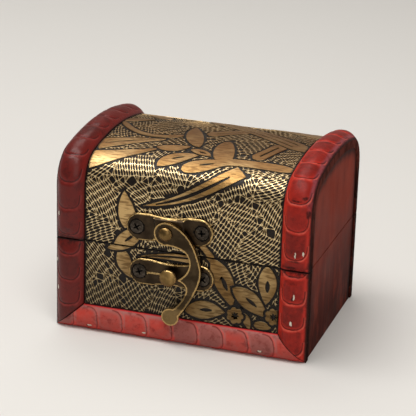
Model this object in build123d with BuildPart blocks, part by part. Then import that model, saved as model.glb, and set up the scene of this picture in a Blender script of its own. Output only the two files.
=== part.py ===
from build123d import *
from math import atan2, cos, degrees, radians, sin, sqrt
import os

os.makedirs("parts", exist_ok=True)

# Millimetres. X runs to the right along the front, Y to the back, Z up.
# The origin is the middle of the underside, on the face the chest stands on.

# Overall size, over the bindings
chest_width = 80.0
chest_depth = 61.6
chest_height = 60.3
split_height = 28.6
lid_gap = 0.3

# Lid section: tight shoulders joined by a shallow crown
shoulder_radius = 12.8
crown_radius = 93.8

# Boards, coverings and lining
end_board = 4.0
wall_board = 3.0
floor_board = 3.0
skin_sheet = 0.8
lining_sheet = 0.5

# Bindings: padded strips over every front and back edge, domed above the skin
# and pinched flatter where they end at the split
binding_band = 9.2
foot_band = 8.0
binding_rise = 2.8
binding_lip = 0.35
binding_wrap = 0.6
wrap_reach = 1.8
pinch_reach = 4.0
pinch_clearance = 0.5

# Two small butt hinges on the back, knuckles at the split
hinge_inset = 4.3
leaf_width = 13.0
leaf_height = 7.5
leaf_sheet = 0.6
leaf_corner = 0.8
knuckle_radius = 1.2
knuckle_standoff = 0.3
knuckle_gap = 0.2
outer_knuckle = 3.8
pin_radius = 0.5
pin_clearance = 0.05
hinge_screw_spacing = 8.0
hinge_screw_edge = 2.6
hinge_screw_shank = 0.6
hinge_screw_head = 1.3
hinge_screw_dome = 0.5
hinge_screw_length = 3.0
slot_width = 0.4
slot_depth = 0.25

# Latch plate on the lid and keeper plate on the base, fitted a little out of level
latch_x = -3.6
latch_rise = 7.5
latch_tilt = 1.8
latch_length = 27.2
latch_width = 8.5
keeper_x = -2.8
keeper_drop = 6.8
keeper_tilt = 1.0
keeper_length = 26.8
keeper_width = 8.2
plate_sheet = 0.8
plate_bevel = 0.25
waist_length = 12.0
waist_depth = 0.7
pad_length = 9.5
pad_rise = 0.5
pad_slope = 40.0

# Cross-head screws of both plates, heads sunk in the plate
screw_inset = 3.4
screw_head = 2.1
screw_dome = 0.35
screw_shank = 0.9
screw_length = 3.6
cross_length = 2.3
cross_width = 0.5
cross_depth = 0.5
screw_clearance = 0.03

# Pivot rivet and the hook that swings on it
pivot_shift = -0.5
pivot_drop = 0.8
rivet_shank = 1.1
rivet_head = 2.15
rivet_edge = 0.35
rivet_dome = 1.15
hook_clearance = 0.2
hook_fit = 0.08
hook_sheet = 1.2
hook_ring = 3.6
hook_drop = 25.4
tab_radius = 2.7
tab_lift = 1.9

# Keeper post, with a small nib and rib beside it on the plate
post_neck = 0.9
post_head = 2.6
post_edge = 0.8
post_dome = 0.9
post_collar = 1.5
collar_rise = 0.4
head_clearance = 0.3
nib_radius = 0.55
nib_rise = 0.6
nib_reach = 7.6
rib_width = 0.5
rib_rise = 0.25

# One overrun for every cut
overrun = 2.0

# Hook outline as shares of the drop from pivot to tab, to the right and down.
# The outer edge runs from the ring to the tab, the inner edge from the ring to
# the spur, and the tail edge from the spur to the tab.
outer_shares = [
    (0.04, 0.137),
    (0.264, 0.0),
    (0.41, -0.28),
    (0.441, -0.45),
    (0.385, -0.66),
    (0.285, -0.86),
    (0.20, -0.985),
]
inner_shares = [
    (0.02, -0.139),
    (0.165, -0.158),
    (0.262, -0.215),
    (0.303, -0.335),
    (0.258, -0.463),
    (0.165, -0.549),
]
tail_shares = [
    (0.168, -0.563),
    (0.222, -0.583),
    (0.268, -0.64),
    (0.252, -0.735),
    (0.19, -0.845),
    (0.10, -0.915),
]
tab_share = 0.102
bend_start_share = 0.73
bend_end_share = 0.88

# Places that follow from the sizes
half_width = chest_width / 2
half_depth = chest_depth / 2
skin_face = half_depth - binding_rise
board_inset = binding_rise + skin_sheet
board_face = half_depth - board_inset
cavity_inset = board_inset + wall_board
cavity_y = half_depth - cavity_inset
end_face = half_width - binding_wrap
cavity_x = end_face - end_board
band_edge = half_width - binding_band
band_middle = half_width - binding_band / 2
lip_height = skin_sheet + binding_lip
lid_foot = split_height + lid_gap

shoulder_y = half_depth - shoulder_radius
crown_z = chest_height - crown_radius
shoulder_z = crown_z + sqrt((crown_radius - shoulder_radius) ** 2 - shoulder_y ** 2)
shoulder_turn = degrees(atan2(shoulder_z - crown_z, shoulder_y))
crown_turn = 180 - 2 * shoulder_turn

hinge_spacing = 2 * (band_edge - hinge_inset) - leaf_width
hinge_y = skin_face + knuckle_standoff + knuckle_radius
pinch_face = hinge_y - pinch_clearance
hinge_z = split_height + lid_gap / 2
leaf_start = knuckle_radius + knuckle_gap
screw_rise = leaf_start + leaf_height - hinge_screw_edge

latch_height = split_height + latch_rise
keeper_height = split_height - keeper_drop
pad_face = plate_sheet + pad_rise
hook_back = pad_face + hook_clearance
hook_front = hook_back + hook_sheet
rivet_seat = hook_front + hook_clearance
post_seat = hook_front + head_clearance
latch_screws = [(-(latch_length / 2 - screw_inset), 0), (latch_length / 2 - screw_inset, 0)]
keeper_screws = [(-(keeper_length / 2 - screw_inset), 0), (keeper_length / 2 - screw_inset, 0)]

# Sketch planes. Those of the latch face forwards and stand on the front skin,
# and the hinge plane faces backwards and stands on the back skin.
latch_plane = Plane(
    origin=(latch_x, -skin_face, latch_height),
    x_dir=(cos(radians(latch_tilt)), 0, sin(radians(latch_tilt))),
    z_dir=(0, -1, 0),
)
keeper_plane = Plane(
    origin=(keeper_x, -skin_face, keeper_height),
    x_dir=(cos(radians(keeper_tilt)), 0, sin(radians(keeper_tilt))),
    z_dir=(0, -1, 0),
)
pivot_plane = Plane(
    origin=(latch_x + pivot_shift, -skin_face, latch_height - pivot_drop),
    x_dir=(1, 0, 0),
    z_dir=(0, -1, 0),
)
hinge_plane = Plane(
    origin=(hinge_spacing / 2, skin_face, hinge_z),
    x_dir=(-1, 0, 0),
    z_dir=(0, 1, 0),
)


def save(piece, node):
    piece.part.label = node
    export_step(piece.part, f"parts/{node}.step")


# The same piece on the other side of a plane
def save_mirrored(piece, plane, node):
    with BuildPart() as twin:
        mirror(piece.part, about=plane)
    save(twin, node)


# Plane through the axis of something round that stands on a sketch plane:
# local x is the radius and local y the height above the sketch plane
def axial_plane(plane, place):
    return Plane(
        origin=plane.from_local_coords((place[0], place[1], 0)),
        x_dir=plane.x_dir,
        z_dir=-plane.y_dir,
    )


# Straight hole from a sketch plane into what lies behind it
def drill(plane, places, radius, depth):
    with BuildSketch(plane.offset(overrun)) as holes:
        with Locations(*places):
            Circle(radius)
    extrude(holes.sketch, amount=-(overrun + depth), mode=Mode.SUBTRACT)


# Screw through a sheet. A sunk head tapers through the sheet, another lies on it.
def add_screw(plane, place, sheet, shank, head, dome, length, sunk):
    section = axial_plane(plane, place)
    tip = sheet - length
    neck = 0 if sunk else sheet
    with BuildSketch(section) as half:
        with BuildLine():
            Polyline((0, sheet + dome), (0, tip), (shank, tip + shank), (shank, neck), (head, sheet))
            TangentArc((0, sheet + dome), (head, sheet), tangent=(1, 0))
        make_face()
    revolve(half.sketch, axis=Axis(section.origin, section.y_dir))


# Section of the lid, inset from its outside, on a sketch in the YZ plane
def lid_section(inset, foot):
    side = half_depth - inset
    radius = shoulder_radius - inset
    with BuildLine() as outline:
        Line((side, foot), (side, shoulder_z))
        CenterArc((shoulder_y, shoulder_z), radius, 0, shoulder_turn)
        CenterArc((0, crown_z), crown_radius - inset, shoulder_turn, crown_turn)
        CenterArc((-shoulder_y, shoulder_z), radius, 180 - shoulder_turn, shoulder_turn)
        Line((-side, shoulder_z), (-side, foot))
        Line((-side, foot), (side, foot))
    make_face(outline.edges())


# Arched sheet between two insets, from one side to the other
def lid_shell(outer_inset, inner_inset, reach):
    with BuildSketch(Plane.YZ.offset(-reach)) as outside:
        lid_section(outer_inset, lid_foot)
    extrude(outside.sketch, amount=2 * reach)
    with BuildSketch(Plane.YZ.offset(-reach)) as inside:
        lid_section(inner_inset, lid_foot - overrun)
    extrude(inside.sketch, amount=2 * reach, mode=Mode.SUBTRACT)


# Padded section of an upright binding: a low lip at the skin, a dome over the
# whole band and a short wrap over the end board. Local y points outwards.
def upright_section():
    with BuildLine() as outline:
        Line((band_edge, 0), (band_edge, lip_height))
        ThreePointArc((band_edge, lip_height), (band_middle, board_inset), (half_width, lip_height))
        Line((half_width, lip_height), (half_width, -wrap_reach))
        Line((half_width, -wrap_reach), (end_face, -wrap_reach))
        Line((end_face, -wrap_reach), (end_face, 0))
        Line((end_face, 0), (band_edge, 0))
    make_face(outline.edges())


# Sloped cut that pinches the bindings' front and back ends at the split, inside
# the hinge axis, so that the back ends clear each other as the lid opens. It
# starts at the given reach from the rim and ends on it.
def pinch_ends(rim, reach):
    with BuildSketch(Plane.YZ.offset(band_edge - overrun)) as wedges:
        for side in (-1, 1):
            with BuildLine():
                Polyline(
                    (side * half_depth, rim + reach),
                    (side * pinch_face, rim),
                    (side * (half_depth + overrun), rim),
                    (side * (half_depth + overrun), rim + reach),
                    close=True,
                )
            make_face()
    extrude(wedges.sketch, amount=binding_band + 2 * overrun, mode=Mode.SUBTRACT)


def rectangle_between(low, high):
    with Locations(((low[0] + high[0]) / 2, (low[1] + high[1]) / 2)):
        Rectangle(high[0] - low[0], high[1] - low[1])


# Boards of the base: two ends with the front, back and floor between them

with BuildPart() as base_right_end:
    with BuildSketch(Plane.YZ.offset(cavity_x)):
        rectangle_between((-board_face, 0), (board_face, split_height))
    extrude(amount=end_board)
save(base_right_end, "base_right_end")
save_mirrored(base_right_end, Plane.YZ, "base_left_end")

with BuildPart() as base_front_board:
    with BuildSketch(Plane.XZ.offset(cavity_y)):
        rectangle_between((-cavity_x, 0), (cavity_x, split_height))
    extrude(amount=wall_board)
    drill(keeper_plane, keeper_screws, screw_shank + screw_clearance, screw_length - plate_sheet)
save(base_front_board, "base_front_board")

with BuildPart() as base_floor:
    with BuildSketch():
        Rectangle(2 * cavity_x, 2 * cavity_y)
    extrude(amount=floor_board)
save(base_floor, "base_floor")

# Places of one hinge's screws on its plane, below for the base and above for the lid
base_leaf_screws = [(end * hinge_screw_spacing / 2, -screw_rise) for end in (-1, 1)]
lid_leaf_screws = [(end * hinge_screw_spacing / 2, screw_rise) for end in (-1, 1)]
hinge_bore = hinge_screw_shank + screw_clearance
hinge_bore_depth = hinge_screw_length - leaf_sheet


def drill_for_hinges(places):
    across = [(x + hinge_spacing, y) for x, y in places]
    drill(hinge_plane, places + across, hinge_bore, hinge_bore_depth)


with BuildPart() as base_back_board:
    with BuildSketch(Plane.XZ.offset(-cavity_y)):
        rectangle_between((-cavity_x, 0), (cavity_x, split_height))
    extrude(amount=-wall_board)
    drill_for_hinges(base_leaf_screws)
save(base_back_board, "base_back_board")

with BuildPart() as base_lining:
    with BuildSketch(Plane.XY.offset(floor_board)):
        Rectangle(2 * cavity_x, 2 * cavity_y)
    extrude(amount=split_height - floor_board)
    with BuildSketch(Plane.XY.offset(floor_board + lining_sheet)):
        Rectangle(2 * (cavity_x - lining_sheet), 2 * (cavity_y - lining_sheet))
    extrude(amount=split_height, mode=Mode.SUBTRACT)
save(base_lining, "base_lining")

# Embossed skins of the base, inside the frame that the bindings make

with BuildPart() as base_front_skin:
    with BuildSketch(Plane.XZ.offset(board_face)):
        rectangle_between((-band_edge, foot_band), (band_edge, split_height))
    extrude(amount=skin_sheet)
    drill(keeper_plane, keeper_screws, screw_shank + screw_clearance, 2 * skin_sheet)
save(base_front_skin, "base_front_skin")

with BuildPart() as base_back_skin:
    with BuildSketch(Plane.XZ.offset(-board_face)):
        rectangle_between((-band_edge, foot_band), (band_edge, split_height))
    extrude(amount=-skin_sheet)
    drill_for_hinges(base_leaf_screws)
save(base_back_skin, "base_back_skin")

# Bindings of the base, mitred where upright and foot meet

mitre_fall = foot_band / binding_band

with BuildPart() as base_front_right_binding:
    with BuildSketch(Plane(origin=(0, -board_face, 0), x_dir=(1, 0, 0), z_dir=(0, 0, -1))):
        upright_section()
    extrude(amount=-split_height)
    with BuildSketch(Plane.XZ.offset(half_depth + overrun)):
        with BuildLine():
            Polyline(
                (band_edge - overrun, foot_band + overrun * mitre_fall),
                (half_width + overrun, -overrun * mitre_fall),
                (band_edge - overrun, -overrun * mitre_fall),
                close=True,
            )
        make_face()
    extrude(amount=-(board_inset + wrap_reach + 2 * overrun), mode=Mode.SUBTRACT)
    pinch_ends(split_height, -pinch_reach)
save(base_front_right_binding, "base_front_right_binding")
save_mirrored(base_front_right_binding, Plane.YZ, "base_front_left_binding")

with BuildPart() as base_back_right_binding:
    mirror(base_front_right_binding.part, about=Plane.XZ)
save(base_back_right_binding, "base_back_right_binding")
save_mirrored(base_back_right_binding, Plane.YZ, "base_back_left_binding")

with BuildPart() as base_front_foot_binding:
    with BuildSketch(Plane(origin=(half_width, -board_face, 0), x_dir=(0, -1, 0), z_dir=(-1, 0, 0))):
        with BuildLine():
            Line((0, foot_band), (lip_height, foot_band))
            ThreePointArc((lip_height, foot_band), (board_inset, foot_band / 2), (lip_height, 0))
            Line((lip_height, 0), (0, 0))
            Line((0, 0), (0, foot_band))
        make_face()
    extrude(amount=chest_width)
    with BuildSketch(Plane.XZ.offset(half_depth + overrun)):
        with BuildLine():
            Polyline(
                (-half_width, 0),
                (half_width, 0),
                (band_edge, foot_band),
                (-band_edge, foot_band),
                close=True,
            )
        make_face()
    extrude(amount=-(board_inset + 2 * overrun), mode=Mode.INTERSECT)
save(base_front_foot_binding, "base_front_foot_binding")
save_mirrored(base_front_foot_binding, Plane.XZ, "base_back_foot_binding")

# Boards of the lid: two arched ends, upright front and back, bent top panel

with BuildPart() as lid_right_end:
    with BuildSketch(Plane.YZ.offset(cavity_x)):
        lid_section(board_inset, lid_foot)
    extrude(amount=end_board)
save(lid_right_end, "lid_right_end")
save_mirrored(lid_right_end, Plane.YZ, "lid_left_end")

with BuildPart() as lid_front_board:
    with BuildSketch(Plane.XZ.offset(cavity_y)):
        rectangle_between((-cavity_x, lid_foot), (cavity_x, shoulder_z))
    extrude(amount=wall_board)
    drill(latch_plane, latch_screws, screw_shank + screw_clearance, screw_length - plate_sheet)
save(lid_front_board, "lid_front_board")

with BuildPart() as lid_back_board:
    with BuildSketch(Plane.XZ.offset(-cavity_y)):
        rectangle_between((-cavity_x, lid_foot), (cavity_x, shoulder_z))
    extrude(amount=-wall_board)
    drill_for_hinges(lid_leaf_screws)
save(lid_back_board, "lid_back_board")

with BuildPart() as lid_top_panel:
    lid_shell(board_inset, cavity_inset, cavity_x)
    split(bisect_by=Plane.XY.offset(shoulder_z), keep=Keep.TOP)
    drill(latch_plane, latch_screws, screw_shank + screw_clearance, screw_length - plate_sheet)
    drill_for_hinges(lid_leaf_screws)
save(lid_top_panel, "lid_top_panel")

with BuildPart() as lid_lining:
    with BuildSketch(Plane.YZ.offset(-cavity_x)):
        lid_section(cavity_inset, lid_foot)
    extrude(amount=2 * cavity_x)
    with BuildSketch(Plane.YZ.offset(lining_sheet - cavity_x)):
        lid_section(cavity_inset + lining_sheet, lid_foot - overrun)
    extrude(amount=2 * (cavity_x - lining_sheet), mode=Mode.SUBTRACT)
save(lid_lining, "lid_lining")

# Embossed skin of the lid, one sheet from the front rim over to the back rim

with BuildPart() as lid_skin:
    lid_shell(binding_rise, board_inset, band_edge)
    drill(latch_plane, latch_screws, screw_shank + screw_clearance, 2 * skin_sheet)
    drill_for_hinges(lid_leaf_screws)
save(lid_skin, "lid_skin")

# Bindings of the lid, each one strip swept round an end's edge

with BuildPart() as lid_right_binding:
    with BuildLine(Plane.YZ) as board_line:
        radius = shoulder_radius - board_inset
        Line((-board_face, lid_foot), (-board_face, shoulder_z))
        CenterArc((-shoulder_y, shoulder_z), radius, 180, -shoulder_turn)
        CenterArc((0, crown_z), crown_radius - board_inset, 180 - shoulder_turn, -crown_turn)
        CenterArc((shoulder_y, shoulder_z), radius, shoulder_turn, -shoulder_turn)
        Line((board_face, shoulder_z), (board_face, lid_foot))
    with BuildSketch(Plane(origin=(0, -board_face, lid_foot), x_dir=(1, 0, 0), z_dir=(0, 0, -1))):
        upright_section()
    sweep(path=board_line.line)
    pinch_ends(lid_foot, pinch_reach)
save(lid_right_binding, "lid_right_binding")
save_mirrored(lid_right_binding, Plane.YZ, "lid_left_binding")

# Hinges. A leaf is a plate with tabs up to its own knuckles, bored for the pin.
# The base leaf has the two outer knuckles, the lid leaf the one between them.


def hinge_leaf(sense, knuckles, bore, screws):
    with BuildSketch(hinge_plane) as leaf:
        with Locations((0, sense * (leaf_start + leaf_height / 2))):
            Rectangle(leaf_width, leaf_height)
        for start, length in knuckles:
            with Locations((start + length / 2, sense * leaf_start / 2)):
                Rectangle(length, leaf_start)
    extrude(leaf.sketch, amount=leaf_sheet)
    for start, length in knuckles:
        with BuildSketch(Plane.YZ.offset(hinge_spacing / 2 + start)) as knuckle:
            with Locations((hinge_y, hinge_z)):
                Circle(knuckle_radius)
        extrude(knuckle.sketch, amount=length)
    with BuildSketch(Plane.YZ.offset(hinge_spacing / 2 - leaf_width)) as bore_circle:
        with Locations((hinge_y, hinge_z)):
            Circle(bore)
    extrude(bore_circle.sketch, amount=2 * leaf_width, mode=Mode.SUBTRACT)
    drill(hinge_plane.offset(leaf_sheet), screws, hinge_bore, leaf_sheet)


outer_knuckles = [(-leaf_width / 2, outer_knuckle), (leaf_width / 2 - outer_knuckle, outer_knuckle)]
inner_length = leaf_width - 2 * outer_knuckle - 2 * knuckle_gap
inner_knuckles = [(-inner_length / 2, inner_length)]

with BuildPart() as right_hinge_base_leaf:
    hinge_leaf(-1, outer_knuckles, pin_radius, base_leaf_screws)
    foot_corners = right_hinge_base_leaf.edges().filter_by(Axis.Y).group_by(Axis.Z)[0]
    fillet(foot_corners, leaf_corner)
save(right_hinge_base_leaf, "right_hinge_base_leaf")
save_mirrored(right_hinge_base_leaf, Plane.YZ, "left_hinge_base_leaf")

with BuildPart() as right_hinge_lid_leaf:
    hinge_leaf(1, inner_knuckles, pin_radius + pin_clearance, lid_leaf_screws)
    head_corners = right_hinge_lid_leaf.edges().filter_by(Axis.Y).group_by(Axis.Z)[-1]
    fillet(head_corners, leaf_corner)
save(right_hinge_lid_leaf, "right_hinge_lid_leaf")
save_mirrored(right_hinge_lid_leaf, Plane.YZ, "left_hinge_lid_leaf")

with BuildPart() as right_hinge_pin:
    with BuildSketch(Plane.YZ.offset(hinge_spacing / 2 - leaf_width / 2)):
        with Locations((hinge_y, hinge_z)):
            Circle(pin_radius)
    extrude(amount=leaf_width)
save(right_hinge_pin, "right_hinge_pin")
save_mirrored(right_hinge_pin, Plane.YZ, "left_hinge_pin")


def slotted_screw(place):
    add_screw(
        hinge_plane,
        place,
        leaf_sheet,
        hinge_screw_shank,
        hinge_screw_head,
        hinge_screw_dome,
        hinge_screw_length,
        sunk=False,
    )
    with BuildSketch(hinge_plane.offset(leaf_sheet + hinge_screw_dome)) as slot:
        with Locations(place):
            Rectangle(2 * hinge_screw_head, slot_width)
    extrude(slot.sketch, amount=-slot_depth, mode=Mode.SUBTRACT)


with BuildPart() as hinge_base_screws:
    for place in base_leaf_screws:
        slotted_screw(place)
    mirror(about=Plane.YZ)
save(hinge_base_screws, "hinge_base_screws")

with BuildPart() as hinge_lid_screws:
    for place in lid_leaf_screws:
        slotted_screw(place)
    mirror(about=Plane.YZ)
save(hinge_lid_screws, "hinge_lid_screws")

# Latch plate and keeper plate: long rounded plates, drawn in at the waist


def waisted_plate(plane, length, width):
    waist_radius = ((waist_length / 2) ** 2 + waist_depth ** 2) / (2 * waist_depth)
    with BuildSketch(plane) as outline:
        SlotOverall(length, width)
        for side in (-1, 1):
            with Locations((0, side * (width / 2 - waist_depth + waist_radius))):
                Circle(waist_radius, mode=Mode.SUBTRACT)
    extrude(outline.sketch, amount=plate_sheet)


# Tapered seats for the sunk screw heads
def sink_screws(plane, screws):
    for place in screws:
        section = axial_plane(plane, place)
        with BuildSketch(section) as half:
            with BuildLine():
                Polyline(
                    (0, plate_sheet + overrun),
                    (0, -overrun),
                    (screw_shank + screw_clearance, -overrun),
                    (screw_shank + screw_clearance, 0),
                    (screw_head + screw_clearance, plate_sheet),
                    (screw_head + screw_clearance, plate_sheet + overrun),
                    close=True,
                )
            make_face()
        revolve(half.sketch, axis=Axis(section.origin, section.y_dir), mode=Mode.SUBTRACT)


def cross_screws(plane, places):
    for place in places:
        add_screw(plane, place, plate_sheet, screw_shank, screw_head, screw_dome, screw_length, sunk=True)
        with BuildSketch(plane.offset(plate_sheet + screw_dome)) as cross:
            with Locations(place):
                Rectangle(cross_length, cross_width)
                Rectangle(cross_width, cross_length)
        extrude(cross.sketch, amount=-cross_depth, mode=Mode.SUBTRACT)


with BuildPart() as latch_plate:
    waisted_plate(latch_plane, latch_length, latch_width)
    chamfer(latch_plate.faces().sort_by(Axis.Y)[0].edges(), plate_bevel)
    with BuildSketch(latch_plane.offset(plate_sheet)):
        Rectangle(pad_length, latch_width - 2 * waist_depth - 2 * plate_bevel)
    extrude(amount=pad_rise, taper=pad_slope)
    sink_screws(latch_plane, latch_screws)
    with BuildSketch(pivot_plane):
        Circle(rivet_shank)
    extrude(amount=pad_face, mode=Mode.SUBTRACT)
save(latch_plate, "latch_plate")

with BuildPart() as latch_plate_screws:
    cross_screws(latch_plane, latch_screws)
save(latch_plate_screws, "latch_plate_screws")

with BuildPart() as keeper_plate:
    waisted_plate(keeper_plane, keeper_length, keeper_width)
    chamfer(keeper_plate.faces().sort_by(Axis.Y)[0].edges(), plate_bevel)
    with BuildSketch(keeper_plane.offset(plate_sheet)):
        Circle(post_collar)
    extrude(amount=collar_rise)
    with BuildSketch(keeper_plane.offset(plate_sheet)):
        with Locations((-nib_reach, 0)):
            Circle(nib_radius)
    extrude(amount=nib_rise)
    with BuildSketch(keeper_plane.offset(plate_sheet)):
        with Locations((-nib_reach / 2, 0)):
            Rectangle(nib_reach, rib_width)
    extrude(amount=rib_rise)
    sink_screws(keeper_plane, keeper_screws)
    with BuildSketch(keeper_plane):
        Circle(post_neck)
    extrude(amount=plate_sheet + collar_rise, mode=Mode.SUBTRACT)
save(keeper_plate, "keeper_plate")

with BuildPart() as keeper_plate_screws:
    cross_screws(keeper_plane, keeper_screws)
save(keeper_plate_screws, "keeper_plate_screws")


# Stud with a domed head, standing on the skin through its plate
def domed_stud(plane, shank, seat, head, edge, dome):
    section = axial_plane(plane, (0, 0))
    brim = seat + edge
    with BuildSketch(section) as half:
        with BuildLine():
            Polyline((0, brim + dome), (0, 0), (shank, 0), (shank, seat), (head, seat), (head, brim))
            TangentArc((0, brim + dome), (head, brim), tangent=(1, 0))
        make_face()
    revolve(half.sketch, axis=Axis(section.origin, section.y_dir))


with BuildPart() as keeper_post:
    domed_stud(keeper_plane, post_neck, post_seat, post_head, post_edge, post_dome)
save(keeper_post, "keeper_post")

with BuildPart() as latch_pivot_rivet:
    domed_stud(pivot_plane, rivet_shank, rivet_seat, rivet_head, rivet_edge, rivet_dome)
save(latch_pivot_rivet, "latch_pivot_rivet")

# Swing hook: ring on the rivet, curved arm with an inner spur, and a thumb tab
# that is bent forwards, so that it clears the keeper post when the lid lifts


def hook_points(shares):
    return [(x * hook_drop, y * hook_drop) for x, y in shares]


with BuildPart() as latch_hook:
    outer = hook_points(outer_shares)
    inner = hook_points(inner_shares)
    tail = hook_points(tail_shares)
    with BuildSketch(pivot_plane.offset(hook_back)):
        with BuildLine():
            Spline(*outer)
            Line(outer[-1], tail[-1])
            Spline(*tail)
            Line(tail[0], inner[-1])
            Spline(*inner)
            Line(inner[0], outer[0])
        make_face()
        Circle(hook_ring)
        with Locations((tab_share * hook_drop, -hook_drop)):
            Circle(tab_radius)
        Circle(rivet_shank + hook_fit, mode=Mode.SUBTRACT)
    extrude(amount=hook_sheet + tab_lift)
    bend_start = -bend_start_share * hook_drop
    bend_end = -bend_end_share * hook_drop
    hook_top = hook_ring + overrun
    hook_foot = -hook_drop - tab_radius - overrun
    with BuildSketch(Plane(origin=pivot_plane.origin, x_dir=(0, -1, 0), z_dir=(-1, 0, 0))):
        with BuildLine():
            Polyline(
                (hook_back, hook_top),
                (hook_front, hook_top),
                (hook_front, bend_start),
                (hook_front + tab_lift, bend_end),
                (hook_front + tab_lift, hook_foot),
                (hook_back + tab_lift, hook_foot),
                (hook_back + tab_lift, bend_end),
                (hook_back, bend_start),
                close=True,
            )
        make_face()
    extrude(amount=hook_drop, both=True, mode=Mode.INTERSECT)
save(latch_hook, "latch_hook")
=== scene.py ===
import itertools
import math
import bmesh
import bpy
import numpy as np
from mathutils import Matrix, Vector, geometry, kdtree


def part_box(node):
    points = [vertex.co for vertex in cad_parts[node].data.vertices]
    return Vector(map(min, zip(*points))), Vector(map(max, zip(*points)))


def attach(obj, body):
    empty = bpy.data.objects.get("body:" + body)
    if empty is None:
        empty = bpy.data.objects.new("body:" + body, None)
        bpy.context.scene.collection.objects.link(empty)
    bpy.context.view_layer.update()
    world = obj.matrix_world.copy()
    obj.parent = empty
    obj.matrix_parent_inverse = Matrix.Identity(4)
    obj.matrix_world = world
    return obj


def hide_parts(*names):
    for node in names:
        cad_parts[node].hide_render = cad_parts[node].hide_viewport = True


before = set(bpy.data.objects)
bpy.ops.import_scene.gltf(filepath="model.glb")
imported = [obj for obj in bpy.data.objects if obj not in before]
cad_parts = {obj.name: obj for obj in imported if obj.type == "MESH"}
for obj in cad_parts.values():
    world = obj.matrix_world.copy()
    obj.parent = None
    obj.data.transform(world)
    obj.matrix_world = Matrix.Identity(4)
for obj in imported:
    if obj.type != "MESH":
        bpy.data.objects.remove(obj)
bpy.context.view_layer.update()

mm = 0.001


# Lengths that the frame gives, in millimetres. X right, Y back, Z up.
def boxOf(node):
    return [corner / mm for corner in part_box(node)]


skinLow, skinHigh = boxOf("lid_skin")
footLow, footHigh = boxOf("base_front_foot_binding")
uprightHigh = boxOf("base_front_right_binding")[1]
lidBoardLow, lidBoardHigh = boxOf("lid_front_board")
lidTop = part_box("lid_right_binding")[1].z / mm
halfWidth = uprightHigh.x
halfDepth = -footLow.y
skinFace = -skinLow.y
boardFace = -lidBoardLow.y
bandEdge = skinHigh.x
footBand = footHigh.z
splitHeight = uprightHigh.z
lidFoot = skinLow.z
shoulderZ = lidBoardHigh.z
endFace = boxOf("lid_right_end")[1].x
lidShape = {"shoulderRadius": 12.8, "crownRadius": 93.8}


# The lid's outline at a depth below its outside, front rim to back rim, and its length
def lidLine(depth):
    shoulder, crown = lidShape["shoulderRadius"], lidShape["crownRadius"]
    shoulderY = halfDepth - shoulder
    crownZ = lidTop - crown
    side = halfDepth - depth
    turn = math.atan2(shoulderZ - crownZ, shoulderY)
    wall = shoulderZ - lidFoot
    bend = (shoulder - depth) * turn
    arch = (crown - depth) * (math.pi - 2 * turn)
    marks = np.cumsum([wall, bend, arch, bend, wall])

    def place(t):
        t = np.asarray(t, float)
        stretch = np.searchsorted(marks[:4], t)
        past = t - np.concatenate([[0], marks[:4]])[stretch]
        angle = np.choose(stretch, [
            np.full_like(t, math.pi),
            math.pi - past / (shoulder - depth),
            math.pi - turn - past / (crown - depth),
            turn - past / (shoulder - depth),
            np.zeros_like(t),
        ])
        radius = np.choose(stretch, [side, shoulder - depth, crown - depth, shoulder - depth, side])
        centreY = np.choose(stretch, [0, -shoulderY, 0, shoulderY, 0])
        centreZ = np.choose(stretch, [lidFoot + past, shoulderZ, crownZ, shoulderZ, shoulderZ - past])
        return (centreY + radius * np.cos(angle), centreZ + radius * np.sin(angle),
                np.cos(angle), np.sin(angle))

    return place, marks[-1]


# Small helpers for meshes

def newObject(name, data):
    made = bpy.data.objects.new(name, data)
    bpy.context.scene.collection.objects.link(made)
    return made


def smoothed(mesh, sharpAngle):
    mesh.shade_smooth()
    mesh.set_sharp_from_angle(angle=math.radians(sharpAngle))
    return mesh


def meshObject(name, vertices, faces, sharpAngle=35):
    mesh = bpy.data.meshes.new(name)
    mesh.from_pydata([tuple(v) for v in vertices], [], [tuple(f) for f in faces])
    mesh.validate()
    return newObject(name, smoothed(mesh, sharpAngle))


def meshFrom(work, name):
    mesh = bpy.data.meshes.new(name)
    work.to_mesh(mesh)
    work.free()
    return mesh


def cornersOf(mesh):
    flat = np.empty(len(mesh.vertices) * 3)
    mesh.vertices.foreach_get("co", flat)
    return flat.reshape(-1, 3)


def moveCorners(mesh, corners):
    mesh.vertices.foreach_set("co", corners.ravel())
    mesh.update()


def storeValues(mesh, name, values):
    layer = mesh.attributes.get(name) or mesh.attributes.new(name, "FLOAT", "POINT")
    layer.data.foreach_set("value", np.asarray(values, np.float32))


def paint(piece, material):
    piece.data.materials.clear()
    piece.data.materials.append(material)


def finishPiece(piece, body, node):
    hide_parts(node)
    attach(piece, body)
    return piece


def vertsOf(parts):
    return [part for part in parts if isinstance(part, bmesh.types.BMVert)]


# How far a place is from the nearest of some spots
def distanceTo(spots):
    tree = kdtree.KDTree(len(spots))
    for number, spot in enumerate(spots):
        tree.insert(spot, number)
    tree.balance()
    return lambda place: tree.find(place)[2]


# "back_left_binding" as "backLeftBinding"
def camel(node):
    first, *others = node.split("_")
    return first + "".join(word.capitalize() for word in others)


# A value in a node tree, which can be reckoned with like a number
class Wire:
    def __init__(self, socket):
        self.socket, self.tree = socket, socket.id_data


def feed(socket, value):
    if isinstance(value, Wire):
        value.tree.links.new(value.socket, socket)
    else:
        socket.default_value = value


# Inputs set by name, with an underscore for a space
def fill(inputs, **values):
    for key, value in values.items():
        feed(inputs[key.replace("_", " ")], value)


# One output of a new node
def addNode(tree, kind, output=0, settings=None, **values):
    node = tree.nodes.new(kind)
    for key, value in (settings or {}).items():
        setattr(node, key, value)
    fill(node.inputs, **values)
    return Wire(node.outputs[output])


def calc(operation, *values):
    tree = next(value.tree for value in values if isinstance(value, Wire))
    node = tree.nodes.new("ShaderNodeMath")
    node.operation = operation
    for socket, value in zip(node.inputs, values):
        feed(socket, value)
    return Wire(node.outputs[0])


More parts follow.
